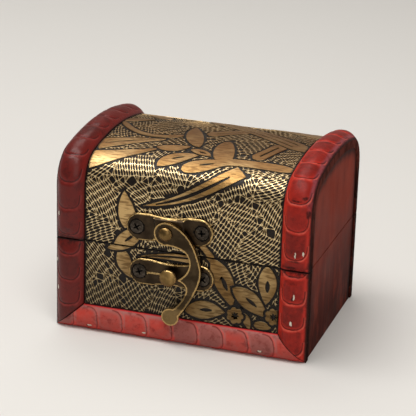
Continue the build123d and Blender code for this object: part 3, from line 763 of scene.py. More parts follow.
# A sheet cut up along the net and the motifs, its net and motifs raised, laid in place
def embossedSheet(name, width, length, motifs, seed, place):
    nodes, lines, halved = netLines(width, length, seed)
    rings, moats = [], []
    for outlines, slits in motifs:
        outlines = [outline if turnsLeft(outline) else outline[::-1] for outline in outlines]
        moats.append([inset(outline, -emboss["moat"]) for outline in outlines])
        rings += [*outlines, *moats[-1], *slits]
    up = np.linspace(0, length, round(length / emboss["seatStep"]) + 1)
    side = np.full(len(up), width / 2)
    rings.append(np.concatenate([np.stack([side, up], 1), np.stack([-side, up[::-1]], 1)]))
    edges, count = [lines], len(nodes)
    for ring in rings:
        index = np.arange(len(ring))
        edges.append(np.stack([index, np.roll(index, -1)], 1) + count)
        count += len(ring)
    spots, edges = np.concatenate([nodes, *rings]), np.concatenate(edges)
    made = geometry.delaunay_2d_cdt([Vector(p) for p in spots], edges.tolist(), [], 3, emboss["near"])
    corners = np.array([tuple(c) for c in made[0]])
    faces = [list(f) for f in made[2]]

    centres = np.array([faceMiddle([Vector((*corners[k], 0)) for k in face]) for face in faces])
    kinds = np.zeros(len(faces), int)     # 0 net, 1 moat or slit, 2 motif
    for (outlines, slits), moat in zip(motifs, moats):
        for kind, shapes in ((1, moat), (2, outlines), (1, slits)):
            for shape in shapes:
                kinds[isInside(centres, shape)] = kind
    inSheet = (np.abs(centres[:, 0]) < width / 2) & (centres[:, 1] > 0) & (centres[:, 1] < length)

    onNet = np.ones(len(corners), bool)
    for face, kind, kept in zip(faces, kinds, inSheet):
        if kind or not kept:
            onNet[face] = False
    fromMiddle = distanceTo([(*middle, 0) for middle in nodes[halved]])
    slack = np.array([fromMiddle((*corner, 0)) < 0.01 for corner in corners], float)
    lineHalf = emboss["knot"] + (emboss["line"] - emboss["knot"]) * slack
    levels = np.where(onNet, emboss["rise"] - emboss["sag"] * slack, 0.0)
    used = dict.fromkeys(k for face, kept in zip(faces, inSheet) if kept for k in face)
    work = bmesh.new()
    ground = {k: work.verts.new((*corners[k], levels[k])) for k in used}
    tops = []
    for face, kind, kept in zip(faces, kinds, inSheet):
        if not kept:
            continue
        ring = corners[face]
        if not turnsLeft(ring):
            face, ring = face[::-1], ring[::-1]
        outer = [ground[k] for k in face]
        if kind == 0:
            for slope, level in ((0.0, None), (emboss["slope"], 0.0)):
                spotsIn = inset(ring, lineHalf[face] + slope, 0.35 if level is None else 0.7)
                inner = [work.verts.new((*spot, outer[k].co.z if level is None else level))
                         for k, spot in enumerate(spotsIn)]
                for k in range(len(face)):
                    m = (k + 1) % len(face)
                    work.faces.new((outer[k], outer[m], inner[m], inner[k]))
                outer = inner
        whole = work.faces.new(outer)
        if kind == 2:
            tops.append(whole)
    work.normal_update()
    bmesh.ops.inset_region(work, faces=tops, thickness=emboss["bevel"], depth=emboss["motifRise"],
                           use_boundary=True, use_even_offset=True)
    for vertex in work.verts:     # no bevel reaches past the sheet's rim
        vertex.co.x = min(max(vertex.co.x, -width / 2), width / 2)
        vertex.co.y = min(max(vertex.co.y, 0), length)
    closeSheet(work, width, length)
    mesh = meshFrom(work, name)
    x, up, rise = cornersOf(mesh).T
    storeValues(mesh, "rise", rise)
    moveCorners(mesh, np.stack(place(x, up, rise - emboss["rise"]), 1) * mm)
    sheet = newObject(name, smoothed(mesh, 32))
    paint(sheet, skinGold)
    mesh.calc_loop_triangles()
    print(name, len(faces), "cells,", len(mesh.loop_triangles), "triangles")
    return sheet


# Side walls and a back, so that a sheet is closed. The back is strips from side to
# side, each between two neighbouring rim points.
def closeSheet(work, width, length):
    rimEdges = [e for e in work.edges if e.is_boundary]
    rim = vertsOf(bmesh.ops.extrude_edge_only(work, edges=rimEdges)["geom"])
    for vertex in rim:
        vertex.co.z = -emboss["sheet"] + emboss["rise"]
    tiny = emboss["near"]
    inner = [v for v in rim if abs(v.co.x) < width / 2 - tiny]
    right = sorted((v for v in rim if v.co.x > width / 2 - tiny), key=lambda v: v.co.y)
    left = sorted((v for v in rim if v.co.x < tiny - width / 2), key=lambda v: v.co.y)
    front = sorted((v for v in inner if v.co.y < tiny), key=lambda v: v.co.x)
    rear = sorted((v for v in inner if v.co.y > length - tiny), key=lambda v: v.co.x)
    i = j = 1
    work.faces.new([left[1], left[0], *front, right[0], right[1]])
    while i < len(left) - 2 or j < len(right) - 2:
        if j >= len(right) - 2 or (i < len(left) - 2 and left[i + 1].co.y < right[j + 1].co.y):
            work.faces.new([left[i], left[i + 1], right[j]])
            i += 1
        else:
            work.faces.new([left[i], right[j + 1], right[j]])
            j += 1
    work.faces.new([left[i], right[j], right[-1], *rear[::-1], left[-1]])
    bmesh.ops.recalc_face_normals(work, faces=work.faces)


lidPlace, lidLength = lidLine(halfDepth - skinFace)


def onLid(x, t, rise):
    y, z, normalY, normalZ = lidPlace(t)
    return x, y + normalY * rise, z + normalZ * rise


# On the front, with side -1, or on the back, with side 1
def onWall(side):
    return lambda x, t, rise: (-side * x, side * (skinFace + rise), footBand + t)


wallLength = splitHeight - footBand
for name, length, motifs, seed, place, node in (
    ("lidSkin", lidLength, lidOrnament, 11, onLid, "lid_skin"),
    ("baseFrontSkin", wallLength, frontOrnament, 23, onWall(-1), "base_front_skin"),
    ("baseBackSkin", wallLength, backOrnament, 37, onWall(1), "base_back_skin"),
):
    skin = embossedSheet(name, 2 * bandEdge, length, motifs, seed, place)
    finishPiece(skin, node.split("_")[0], node)
print("skins made")


# Padded bindings. A section is a line of (x or z, rise above the board) points and
# the share of relief at each, and it is carried along its strip row by row.

padding = {
    "allowance": 0.22, "lip": 0.35, "inset": 0.05, "step": 0.19, "wrapEdge": -1.76,
    "pinchReach": 4.0, "pinchDepth": 1.8, "pinchBlend": 0.5, "crinkle": 1.8, "seam": 0.30, "seamDepth": 0.35,
    "turned": 0.90, "innerFade": 0.6, "innerEdge": 0.62, "outerEdge": 0.5, "endFade": 0.4, "endEdge": 0.3,
    "seamEdge": 0.25, "tuck": (0.3, 0.05), "wrap": ((0.0, 0.5), (0.0, -1.3), (0.06, -1.55), (0.2, -1.72)),
    "domeGap": 0.12, "domePoints": 25,
}
boardInset = halfDepth - boardFace
skinRise = boardInset - (halfDepth - skinFace)


# Points along a polyline at even steps, and how far along each lies
def evenly(points, step):
    points = np.array(points, float)
    lengths = np.linalg.norm(np.diff(points, axis=0), axis=1)
    marks = np.concatenate([[0], np.cumsum(lengths)])
    count = max(2, round(marks[-1] / step)) + 1
    at = np.linspace(0, marks[-1], count)
    return np.stack([np.interp(at, marks, points[:, k]) for k in range(points.shape[1])], 1), at


def arc(centre, radius, start, end, count):
    angle = np.radians(np.linspace(start, end, count))
    return [(centre[0] + radius * math.cos(a), centre[1] + radius * math.sin(a)) for a in angle]


# The domed top of a strip between two edges: points from the first edge to the second
def domeLine(first, second):
    half = (second - first) / 2
    high = boardInset - skinRise - padding["lip"]
    radius = (half * half + high * high) / (2 * high)
    inner = radius - padding["allowance"]
    edge = math.degrees(math.acos(min(1.0, (abs(half) - padding["domeGap"]) / inner)))
    start, end = (180 - edge, edge) if half > 0 else (edge, 180 - edge)
    return arc(((first + second) / 2, boardInset - radius), inner, start, end, padding["domePoints"])


def fade(distance, width):
    return np.exp(-(np.asarray(distance) / width) ** 2)


# A section closed by its points against the boards, with a place across, a share of
# relief and a closeness to its edges at each point
def closedSection(crown, back, middle, extra=0):
    line, at = evenly(crown, padding["step"])
    half = len(line) // 2 + extra
    order = 1 if line[0, 0] < line[half, 0] else -1
    middle = np.interp(order * middle, order * line[:half, 0], at[:half])
    across = np.concatenate([(at - middle) / middle, np.full(len(back), 2.0)])
    face = np.clip(np.minimum(at / padding["innerFade"], at[-1] - at), 0, 1)
    face = np.concatenate([face, np.zeros(len(back))])
    edge = np.maximum(fade(at, padding["innerEdge"]), fade(at[-1] - at, padding["outerEdge"]))
    edge = np.concatenate([edge, np.ones(len(back))])
    return np.concatenate([line, back]), across, face, edge


# Section of an upright strip: inner edge, dome, wrap over the end
def uprightSection():
    side, low = halfWidth - padding["allowance"] * 0.55, padding["wrapEdge"]
    inner = bandEdge + padding["inset"]
    crown = [*((inner, skinRise - depth) for depth in padding["tuck"]), *domeLine(bandEdge, halfWidth),
             *((side - inward, rise) for inward, rise in padding["wrap"]), (endFace + 0.04, low)]
    back = [(endFace, low - 0.02), (endFace, 0.0), (inner, 0.0)]
    return closedSection(crown, back, (bandEdge + halfWidth) / 2)


# Section of a foot strip, top edge to underside
def footSection():
    low, top = padding["allowance"] * 0.5, footBand - padding["inset"]
    crown = [*((top, skinRise - depth) for depth in padding["tuck"]), *domeLine(footBand, 0),
             (low, 0.5), (low, 0.15)]
    return closedSection(crown, [(0.12, 0.0), (top, 0.0)], footBand / 2, 3)


# The rise left of a section where the strip is pinched towards the split
def pinched(rise, gap):
    near = gap / padding["pinchReach"]
    limit = boardInset - padding["allowance"] - padding["pinchDepth"] * np.clip(1 - near, 0, 1)
    soft = padding["pinchBlend"] * np.clip(2 - near, 0, 1)
    return (rise + limit - np.sqrt((rise - limit) ** 2 + soft ** 2)) / 2


# How relief dies away towards an end or a seam
def reliefAt(gap):
    return np.clip(gap / padding["endFade"], 0, 1)


# A closed strip from its rows of points. The last columns lie against the boards.
def stripObject(name, grid, values, flip):
    rows, columns = grid.shape[:2]
    index = np.arange(rows * columns).reshape(rows, columns)
    around = np.roll(index, -1, axis=1)
    a, b, c, d = index[:-1].ravel(), around[:-1].ravel(), around[1:].ravel(), index[1:].ravel()
    faces = np.stack([a, d, c, b] if flip else [a, b, c, d], 1).tolist()
    ends = [index[0, ::-1].tolist(), index[-1].tolist()]
    faces += [end[::-1] for end in ends] if flip else ends
    strip = meshObject(name, (grid.reshape(-1, 3) * mm).tolist(), faces, 50)
    for key, value in values.items():
        storeValues(strip.data, key, np.broadcast_to(value, (rows, columns)).ravel())
    return strip


def lidBinding(name, side):
    section, across, face, edge = uprightSection()
    place, length = lidLine(0)
    rows = round(length / padding["step"]) + 1
    t = np.linspace(0, length, rows)
    y, z, normalY, normalZ = (value[:, None] for value in place(t))
    endGap = np.minimum(t, length - t)[:, None]
    rise = np.where(face > 0, pinched(section[:, 1], endGap), section[:, 1])
    grid = np.stack([side * section[:, 0] + 0 * y, y + normalY * (rise - boardInset),
                     z + normalZ * (rise - boardInset)], 2)
    values = {"along": -t[:, None], "across": across, "face": face * reliefAt(endGap),
              "edge": np.maximum(edge, fade(endGap, padding["endEdge"])),
              "crinkle": fade(endGap, padding["crinkle"])}
    return stripObject(name, grid, values, side < 0)


def uprightBinding(name, side, front):
    section, across, face, edge = uprightSection()
    foot = (halfWidth - section[:, 0]) * footBand / (halfWidth - bandEdge)
    rows = round(splitHeight / padding["step"]) + 1
    z = foot + (splitHeight - foot) * np.linspace(0, 1, rows)[:, None]
    topGap, seamGap = splitHeight - z, z - foot
    rise = np.where(face > 0, pinched(section[:, 1], topGap), section[:, 1])
    onTop = face * (section[:, 0] < halfWidth - 0.4)
    rise = rise - padding["seamDepth"] * fade(seamGap, padding["seam"]) * onTop
    grid = np.stack([np.broadcast_to(side * section[:, 0], z.shape), (boardFace + rise) * front, z], 2)
    edge = np.maximum(edge, fade(topGap, padding["endEdge"]))
    edge = np.maximum(edge, fade(seamGap, padding["seamEdge"]) * (onTop > 0))
    values = {"along": -z, "across": across, "face": face * reliefAt(topGap) * reliefAt(seamGap),
              "edge": edge, "crinkle": fade(topGap, padding["crinkle"])}
    return stripObject(name, grid, values, side * front > 0)


def footBinding(name, front):
    section, across, face, edge = footSection()
    reach = halfWidth - section[:, 0] * (halfWidth - bandEdge) / footBand
    rows = round(2 * halfWidth / padding["step"]) + 1
    x = reach * np.linspace(-1, 1, rows)[:, None]
    seamGap = reach - np.abs(x)
    rise = section[None, :, 1] - padding["seamDepth"] * fade(seamGap, padding["seam"]) * face
    grid = np.stack([x, (boardFace + rise) * front, np.broadcast_to(section[:, 0], x.shape)], 2)
    values = {"along": x * -front, "across": across, "face": face * reliefAt(seamGap),
              "edge": np.maximum(edge, fade(seamGap, padding["seamEdge"])), "crinkle": 0.0}
    return stripObject(name, grid, values, front < 0)


lidScales = {
    "Pitch": 8.6, "Phase": 4.0, "Roundness": 2.8, "Margin": 0.66, "Shift": 0.0, "Crease Width": 0.20,
    "Crease Depth": 0.18, "Lip Offset": 0.44, "Lip Width": 0.24, "Lip Height": 0.09, "Puff": 0.13,
    "Unevenness": 0.60, "Wrinkle": 0.08, "Most": 0.21,
}
leftLidScales = {
    **lidScales, "Phase": 1.6, "Puff": 0.20, "Crease Depth": 0.05, "Lip Height": 0.03, "Wrinkle": 0.05,
}
rightScales = {**lidScales, "Pitch": 8.1, "Phase": 2.9, "Roundness": 3.4}
leftScales = {**rightScales, "Phase": 0.1, "Roundness": 3.0, "Crease Depth": 0.10, "Lip Height": 0.05}
footScales = {
    **lidScales, "Pitch": 8.0, "Phase": 1.45, "Roundness": 2.3, "Margin": 0.82, "Shift": 0.06,
    "Crease Width": 0.17, "Crease Depth": 0.15, "Lip Offset": 0.36, "Lip Height": 0.03, "Wrinkle": 0.10,
}


# A geometry tree with named inputs, and the wires that come from them
def newTree(name, kinds):
    tree = bpy.data.node_groups.new(name, "GeometryNodeTree")
    for key, kind in {"Geometry": "Geometry", **kinds, "Material": "Material"}.items():
        tree.interface.new_socket(key, in_out="INPUT", socket_type="NodeSocket" + kind)
    tree.interface.new_socket("Geometry", in_out="OUTPUT", socket_type="NodeSocketGeometry")
    return tree, {output.name: Wire(output) for output in tree.nodes.new("NodeGroupInput").outputs}


# The end of each tree: the instances made real, and the material set
def closeTree(tree, given, shaped):
    shaped = addNode(tree, "GeometryNodeRealizeInstances", Geometry=shaped)
    shaped = addNode(tree, "GeometryNodeSetMaterial", Geometry=shaped, Material=given["Material"])
    feed(tree.nodes.new("NodeGroupOutput").inputs[0], shaped)
    return tree


def stored(tree, name):
    return addNode(tree, "GeometryNodeInputNamedAttribute", 0, {"data_type": "FLOAT"}, Name=name)


# Relief of a strip: scales in a row, each open where it slips from under the last
# one and rounded at its far end, with a crease and a raised lip (painted lighter as a highlight) round that
# end
def scaleRelief():
    tree, given = newTree("scaleRelief", dict.fromkeys((*lidScales, "Seed"), "Float"))

    def cloud(scale, detail, seedShift):
        return addNode(tree, "ShaderNodeTexNoise", 0, {"noise_dimensions": "4D"}, W=given["Seed"] + seedShift,
                       Scale=scale, Detail=detail, Roughness=0.6) - 0.5

    def bell(distance, width):
        near = distance / width
        return calc("EXPONENT", near * near * -1.0)

    across, face, crinkle = (stored(tree, name) for name in ("across", "face", "crinkle"))
    wander = cloud(190.0, 2.0, 0.0) * given["Unevenness"] * 2.0
    ragged = cloud(900.0, 3.0, 3.0) * given["Unevenness"]
    count = (stored(tree, "along") + given["Phase"] + (wander + ragged)) / given["Pitch"]
    a = calc("FRACT", count) * 2.0 - 1.0
    b = calc("ABSOLUTE", (across - given["Shift"]) / given["Margin"])
    upper = calc("LESS_THAN", a, 0.0)

    def reachOf(along):
        return (along ** given["Roundness"] + b ** given["Roundness"]) ** (1.0 / given["Roundness"])

    gap = (reachOf(a + upper * 2.0) - 1.0) * given["Pitch"] * 0.5
    crease = bell(gap, given["Crease Width"] * (1.0 + cloud(420.0, 2.0, 7.0)))
    lip = bell(gap - given["Lip Offset"], given["Lip Width"])
    slipped = most(1.0 - upper, ramp(gap, 0.3, 1.6))
    dome = most(0.0, 1.0 - reachOf(most(a, 0.0)) ** 4.0) * slipped
    wrinkles = cloud(1100.0, 4.0, 11.0) * given["Wrinkle"] * (1.0 + crinkle * 2.5)
    height = dome * given["Puff"] + lip * given["Lip Height"] - crease * given["Crease Depth"] + wrinkles
    height = calc("MINIMUM", height, given["Most"]) * face
    offset = addNode(tree, "ShaderNodeVectorMath", 0, {"operation": "SCALE"}, Scale=height * mm,
                     Vector=Wire(tree.nodes.new("GeometryNodeInputNormal").outputs[0]))
    tint = addNode(tree, "ShaderNodeTexWhiteNoise", "Value", {"noise_dimensions": "1D"},
                   W=calc("FLOOR", count) + given["Seed"])
    shaped, kind = given["Geometry"], {"data_type": "FLOAT", "domain": "POINT"}
    for name, value in {"crease": crease * face, "lip": lip * face, "crown": dome, "scaleTint": tint}.items():
        shaped = addNode(tree, "GeometryNodeStoreNamedAttribute", 0, kind, Geometry=shaped, Name=name,
                         Value=value)
    return closeTree(tree, given, addNode(tree, "GeometryNodeSetPosition", Geometry=shaped, Offset=offset))


# A piece's mesh becomes what the tree makes of it
def growWith(piece, tree, values):
    modifier = piece.modifiers.new(tree.name, "NODES")
    modifier.node_group = tree
    for item in tree.interface.items_tree:
        if item.in_out == "INPUT" and item.name in values:
            modifier[item.identifier] = values[item.name]
    graph = bpy.context.evaluated_depsgraph_get()
    graph.update()
    old = piece.data
    made = bpy.data.meshes.new_from_object(piece.evaluated_get(graph), preserve_all_data_layers=True,
                                           depsgraph=graph)
    piece.modifiers.clear()
    piece.data = made
    made.name = piece.name
    bpy.data.meshes.remove(old)
    return piece


relief = scaleRelief()
for node, build, where, look, material, seed in (
    ("lid_right_binding", lidBinding, (1,), lidScales, brightLeather, 5.0),
    ("lid_left_binding", lidBinding, (-1,), leftLidScales, darkLeather, 9.0),
    ("base_front_right_binding", uprightBinding, (1, -1), rightScales, brightLeather, 14.0),
    ("base_front_left_binding", uprightBinding, (-1, -1), leftScales, darkLeather, 21.0),
    ("base_back_right_binding", uprightBinding, (1, 1), rightScales, brightLeather, 33.0),
    ("base_back_left_binding", uprightBinding, (-1, 1), leftScales, darkLeather, 38.0),
    ("base_front_foot_binding", footBinding, (-1,), footScales, footLeather, 42.0),
    ("base_back_foot_binding", footBinding, (1,), footScales, footLeather, 47.0),
):
    name = camel(node.removeprefix("base_"))
    piece = growWith(build(name, *where), relief, {**look, "Seed": seed, "Material": material})
    moveCorners(piece.data, np.clip(cornersOf(piece.data), *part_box(node)))     # inside the CAD node's box
    piece.data.shade_smooth()
    if build is not footBinding:
        piece.data.materials.append(turnedEdge)
        across = piece.data.attributes["across"].data
        for face in piece.data.polygons:
            face.material_index = int(min(across[k].value for k in face.vertices) > padding["turned"])
    finishPiece(piece, node.split("_")[0], node)
    print(name, len(piece.data.polygons), "faces")


# Metal parts: a copy of the CAD solid with its edges rounded and rubbed bright. In
# millimetres, markStep is the way between marks on an edge, cut that between cuts
# through the faces, and hole and ring are how far round a screw stays unworn and black.

rubbing = {"sharp": 28, "markStep": 0.15, "cut": 0.45, "hole": 2.7, "ring": 2.45}


def mergedCopy(node):
    work = bmesh.new()
    work.from_mesh(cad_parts[node].data)
    bmesh.ops.remove_doubles(work, verts=work.verts, dist=1e-6)
    bmesh.ops.dissolve_limit(work, angle_limit=math.radians(1.5), verts=work.verts, edges=work.edges)
    return work


crossHead = dict(radius=2.1, dome=0.35, rim=0.15, reach=1.25, arm=0.30, depth=0.55, shank=0.9, length=3.4)
slotHead = dict(radius=1.3, dome=0.5, rim=0.12, reach=1.05, arm=0.20, depth=0.25, shank=0.6, length=2.4)
# What both heads share: shares of the radius with a ring of points, points per ring, the
# dome's power, the drive's taper, the height and radius of the shank's tip, rubbed metal
headShape = dict(rings=(0.35, 0.62, 0.84, 0.95, 1.0), points=28, power=1.3, taper=0.72, tip=(0.6, 0.15),
                 rubbed=0.4)


# Where the heads of a CAD node's screws sit: centre and seat of each, in millimetres
def screwSeats(node, sizes):
    work = mergedCopy(node)
    left, seats = set(work.verts), []
    while left:
        group, edge = set(), [next(iter(left))]
        while edge:
            vertex = edge.pop()
            if vertex not in group:
                group.add(vertex)
                edge += [e.other_vert(vertex) for e in vertex.link_edges]
        left -= group
        spots = np.array([v.co for v in group]) / mm
        low, high = spots.min(0), spots.max(0)
        back = high[1] > 0
        seat = high[1] - sizes["dome"] - sizes["rim"] if back else low[1] + sizes["dome"] + sizes["rim"]
        seats.append(((low[0] + high[0]) / 2, seat, (low[2] + high[2]) / 2))
    work.free()
    return sorted(seats)


def rubbedCopy(node, name, material, body, slot, bevel, wear, screws=None, proud=0.0):
    work = mergedCopy(node)
    angle = math.radians(rubbing["sharp"])
    sharp = [e for e in work.edges if len(e.link_faces) == 2 and e.calc_face_angle(0) > angle]
    marks = []
    for edge in [e for e in sharp if e.is_convex]:
        a, b = (np.array(v.co) / mm for v in edge.verts)
        steps = max(2, int(np.linalg.norm(b - a) / rubbing["markStep"]))
        marks.append(a + (b - a) * np.linspace(0, 1, steps)[:, None])
    bmesh.ops.bevel(work, geom=sharp, offset=bevel * mm, offset_type="OFFSET", segments=2, profile=0.5,
                    affect="EDGES", clamp_overlap=True)
    low, high = boxOf(node)
    for axis in range(3):
        for level in np.arange(low[axis] + rubbing["cut"] / 2, high[axis], rubbing["cut"]):
            centre, normal = Vector(), Vector()
            centre[axis], normal[axis] = level * mm, 1
            everything = list(work.verts) + list(work.edges) + list(work.faces)
            bmesh.ops.bisect_plane(work, geom=everything, plane_co=centre, plane_no=normal, dist=1e-6)
    bmesh.ops.remove_doubles(work, verts=work.verts, dist=2e-6)
    mesh = smoothed(meshFrom(work, name), 35)
    marks = np.concatenate(marks)
    if screws:     # no wear round the screw holes and on what stands proud of the plate
        seats = np.array(screwSeats(screws, crossHead))
        away = lambda spots: np.linalg.norm(spots[:, None, ::2] - seats[None, :, ::2], axis=2).min(1)
        marks = marks[(away(marks) > rubbing["hole"]) & (np.abs(marks[:, 1]) < skinFace + proud)]
    fromMark = distanceTo(marks)
    worn = fade([fromMark(v.co / mm) for v in mesh.vertices], wear)
    if screws:     # black ring round the screw heads
        worn[away(cornersOf(mesh) / mm) < rubbing["ring"]] = -1.0
    storeValues(mesh, "worn", worn)
    piece = newObject(name, mesh)
    paint(piece, material)
    return finishPiece(piece, body, node)


metalPlans = [
    ("latch_plate", "latchPlate", latchBronze, "lid", "latch_bronze", 0.14, 0.18,
     "latch_plate_screws", 1.0),
    ("keeper_plate", "keeperPlate", latchBronze, "base", "latch_bronze", 0.14, 0.16,
     "keeper_plate_screws", 3.0),
    ("latch_hook", "latchHook", hookBronze, "hook", "latch_bronze", 0.30, 0.50),
    ("latch_pivot_rivet", "pivotRivet", studBrass, "lid", "stud_brass", 0.15, 0.24),
    ("keeper_post", "keeperPost", studBrass, "base", "stud_brass", 0.25, 0.30),
]
for part, body, bevel in (("base_leaf", "base", 0.10), ("lid_leaf", "lid", 0.10), ("pin", "base", 0.08)):
    for node in (f"right_hinge_{part}", f"left_hinge_{part}"):
        metalPlans.append((node, camel(node), hingeBrass, body, "hinge_brass", bevel, 0.20))
for node, name, *plan in metalPlans:
    piece = rubbedCopy(node, name, *plan)
    print(name, len(piece.data.polygons), "faces")


# Screws. A head with its drive sunk in it is set at every place of a screw of the CAD

def crossOutline(reach, arm):
    quarter = [(arm, -arm), (reach, -arm * 0.7), (reach, arm * 0.7), (arm, arm)]
    turns = [(1, 0, 0, 1), (0, -1, 1, 0), (-1, 0, 0, -1), (0, 1, -1, 0)]
    return [(a * x + b * y, c * x + d * y) for a, b, c, d in turns for x, y in quarter]


def slotOutline(reach, arm):
    return [(-reach, -arm), (reach, -arm), (reach, arm), (-reach, arm)]


# Head facing along Z, its seat at zero, its shank below
def screwHead(name, sizes, drive):
    radius, dome = sizes["radius"], sizes["dome"]
    rings = [[(0.0, 0.0)]]
    for share in headShape["rings"]:
        angle = np.linspace(0, 2 * math.pi, headShape["points"], endpoint=False) + share
        rings.append(np.stack([np.cos(angle), np.sin(angle)], 1) * share * radius)
    spots = [tuple(p) for ring in rings for p in ring if not isInside(np.array([p]), np.array(drive))[0]]
    edges = [(len(spots) + k, len(spots) + (k + 1) % len(drive)) for k in range(len(drive))]
    spots += drive
    corners, _, triangles = geometry.delaunay_2d_cdt([Vector(p) for p in spots], edges, [], 0, 1e-5)[:3]
    work = bmesh.new()
    power = headShape["power"]
    level = lambda x, y: sizes["rim"] + dome * max(0.0, 1 - ((x * x + y * y) / radius ** 2) ** power)
    made = [work.verts.new((x, y, level(x, y))) for x, y in corners]
    sunk = []
    for triangle in triangles:
        centre = sum((np.array(corners[k]) for k in triangle), np.zeros(2)) / 3
        face = work.faces.new([made[k] for k in triangle])
        if isInside(centre[None], np.array(drive))[0]:
            sunk.append(face)
    pushed = bmesh.ops.extrude_face_region(work, geom=sunk)["geom"]
    bmesh.ops.delete(work, geom=sunk, context="FACES_ONLY")
    taper, (point, tip) = headShape["taper"], headShape["tip"]
    for vertex in vertsOf(pushed):
        vertex.co = (vertex.co.x * taper, vertex.co.y * taper, sizes["rim"] + dome - sizes["depth"])
    rim = [e for e in work.edges if e.is_boundary]
    for reach, height in ((radius, 0.0), (sizes["shank"], 0.0), (sizes["shank"], point - sizes["length"]),
                          (tip, -sizes["length"])):
        ring = bmesh.ops.extrude_edge_only(work, edges=rim)["geom"]
        for vertex in vertsOf(ring):
            size = math.hypot(vertex.co.x, vertex.co.y)
            vertex.co = (vertex.co.x * reach / size, vertex.co.y * reach / size, height)
        rim = [e for e in ring if isinstance(e, bmesh.types.BMEdge)]
    bmesh.ops.holes_fill(work, edges=rim)
    bmesh.ops.recalc_face_normals(work, faces=work.faces)
    mesh = smoothed(meshFrom(work, name), 30)
    # The floors of the drives are painted black: painted shade in the recess
    recess = {k for p in mesh.polygons if p.normal.z > 0.9 for k in p.vertices
              if mesh.vertices[k].co.z < sizes["rim"] + dome - 0.8 * sizes["depth"]}
    storeValues(mesh, "worn", [-1.0 if k in recess else headShape["rubbed"] if corner[2] > 0.01 else 0.0
                               for k, corner in enumerate(cornersOf(mesh))])
    return newObject(name, mesh)


# Screws set on points, each tipped to face out and then turned about its own axis
def screwRow():
    tree, given = newTree("screwRow", {"Screw": "Object", "Size": "Float"})
    screw = addNode(tree, "GeometryNodeObjectInfo", "Geometry", Object=given["Screw"])
    size = addNode(tree, "ShaderNodeCombineXYZ", **dict.fromkeys("XYZ", given["Size"]))
    placed = addNode(tree, "GeometryNodeInstanceOnPoints", Points=given["Geometry"], Instance=screw,
                     Scale=size)
    for axis, angle in (("X", "facing"), ("Z", "turn")):
        rotation = addNode(tree, "ShaderNodeCombineXYZ", **{axis: stored(tree, angle)})
        placed = addNode(tree, "GeometryNodeRotateInstances", Instances=placed, Rotation=rotation)
    return closeTree(tree, given, placed)


screwTree = screwRow()
crossScrew = screwHead("crossScrew", crossHead, crossOutline(crossHead["reach"], crossHead["arm"]))
slotScrew = screwHead("slotScrew", slotHead, slotOutline(slotHead["reach"], slotHead["arm"]))
for node, head, sizes, material, body, slot, turns in (
    ("latch_plate_screws", crossScrew, crossHead, screwBlack, "lid", "blackened_screw", [0.55, 0.12]),
    ("keeper_plate_screws", crossScrew, crossHead, screwBlack, "base", "blackened_screw", [0.35, 0.85]),
    ("hinge_base_screws", slotScrew, slotHead, hingeBrass, "base", "hinge_brass", [0.3, 1.9, 0.9, 2.6]),
    ("hinge_lid_screws", slotScrew, slotHead, hingeBrass, "lid", "hinge_brass", [2.2, 0.7, 1.4, 2.9]),
):
    seats = screwSeats(node, sizes)
    mesh = bpy.data.meshes.new(camel(node))
    mesh.from_pydata([tuple(c * mm for c in seat) for seat in seats], [], [])
    storeValues(mesh, "turn", turns)
    storeValues(mesh, "facing", [math.pi / 2 if seat[1] < 0 else -math.pi / 2 for seat in seats])
    piece = newObject(mesh.name, mesh)
    growWith(piece, screwTree, {"Screw": head, "Size": mm, "Material": material})
    finishPiece(piece, body, node)
    print(piece.name, len(seats), "screws")
for helper in (crossScrew, slotScrew):
    bpy.data.objects.remove(helper)
print("metal parts made")


# The boards and the lining keep their solids
for material, slot, nodes in (
    (maroonPaint, "painted_end_board", "base_left_end base_right_end lid_left_end lid_right_end"),
    (stainedBoard, "board", "base_front_board base_back_board base_floor"),
    (stainedBoard, "board", "lid_front_board lid_back_board lid_top_panel"),
    (flockedLining, "lining_cloth", "base_lining lid_lining"),
):
    for node in nodes.split():
        paint(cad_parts[node], material)


# Floor, backdrop, lamps and camera

stageLook = {"floor": (0.70, 0.69, 0.67), "reach": 1.6, "rise": 1.2, "bend": 0.5}


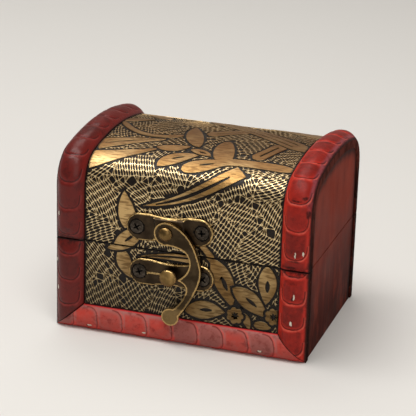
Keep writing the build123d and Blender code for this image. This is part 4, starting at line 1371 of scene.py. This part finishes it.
def stageFloor():
    reach, bend, rise = stageLook["reach"], stageLook["bend"], stageLook["rise"]
    curve = [(reach - bend + bend * math.sin(a), bend - bend * math.cos(a))
             for a in np.linspace(0.1, 1.57, 15)]
    line = [(-reach, 0.0), (reach - bend, 0.0), *curve, (reach, rise)]
    vertices = [(side * reach * 1.5, y, z) for y, z in line for side in (-1, 1)]
    faces = [(2 * k, 2 * k + 1, 2 * k + 3, 2 * k + 2) for k in range(len(line) - 1)]
    floor = meshObject("stageFloor", vertices, faces)
    material, inputs, _ = newMaterial("paleStage")
    fill(inputs, Base_Color=(*stageLook["floor"], 1), Roughness=0.75)
    paint(floor, material)


stageFloor()

lampAim = Vector((0, 0, 0.03))
lampPlans = [
    ("keyLamp", (-0.10, -0.20, 0.80), (1.00, 0.34), 6.2, (1.0, 0.98, 0.95)),
    ("fillLamp", (0.46, -0.72, 0.40), (0.60, 0.60), 1.5, (1.0, 0.96, 0.90)),
    ("rearLamp", (-0.20, 0.36, 0.76), (0.45, 0.45), 1.7, (1.0, 0.97, 0.93)),
]
for name, place, size, power, colour in lampPlans:
    lamp = bpy.data.lights.new(name, "AREA")
    lamp.shape = "RECTANGLE"
    (lamp.size, lamp.size_y), lamp.energy, lamp.color = size, power, colour
    holder = newObject(name, lamp)
    holder.location = place
    holder.rotation_euler = (lampAim - Vector(place)).to_track_quat("-Z", "Y").to_euler()

world = bpy.data.worlds.new("studio")
world.use_nodes = True
fill(world.node_tree.nodes["Background"].inputs, Color=(0.95, 0.90, 0.84, 1), Strength=0.28)
bpy.context.scene.world = world

cameraPlan = {"lens": 153.03, "place": (0.1567, -0.4925, 0.2190), "yaw": 17.75, "pitch": 19.70, "roll": 1.68}
yaw, pitch, roll = (math.radians(cameraPlan[key]) for key in ("yaw", "pitch", "roll"))
looking = Vector((-math.sin(yaw) * math.cos(pitch), math.cos(yaw) * math.cos(pitch), -math.sin(pitch)))
level = Vector((math.cos(yaw), math.sin(yaw), 0))
upward = level.cross(looking)
right = level * math.cos(roll) + upward * math.sin(roll)
over = upward * math.cos(roll) - level * math.sin(roll)
camera = newObject("photoCamera", bpy.data.cameras.new("photoCamera"))
camera.data.lens = cameraPlan["lens"]
camera.data.clip_start = 0.01
turned = Matrix((right, over, -looking)).transposed().to_4x4()
camera.matrix_world = Matrix.Translation(cameraPlan["place"]) @ turned
bpy.context.scene.camera = camera
bpy.context.scene.view_settings.view_transform = "Standard"
print("stage set")
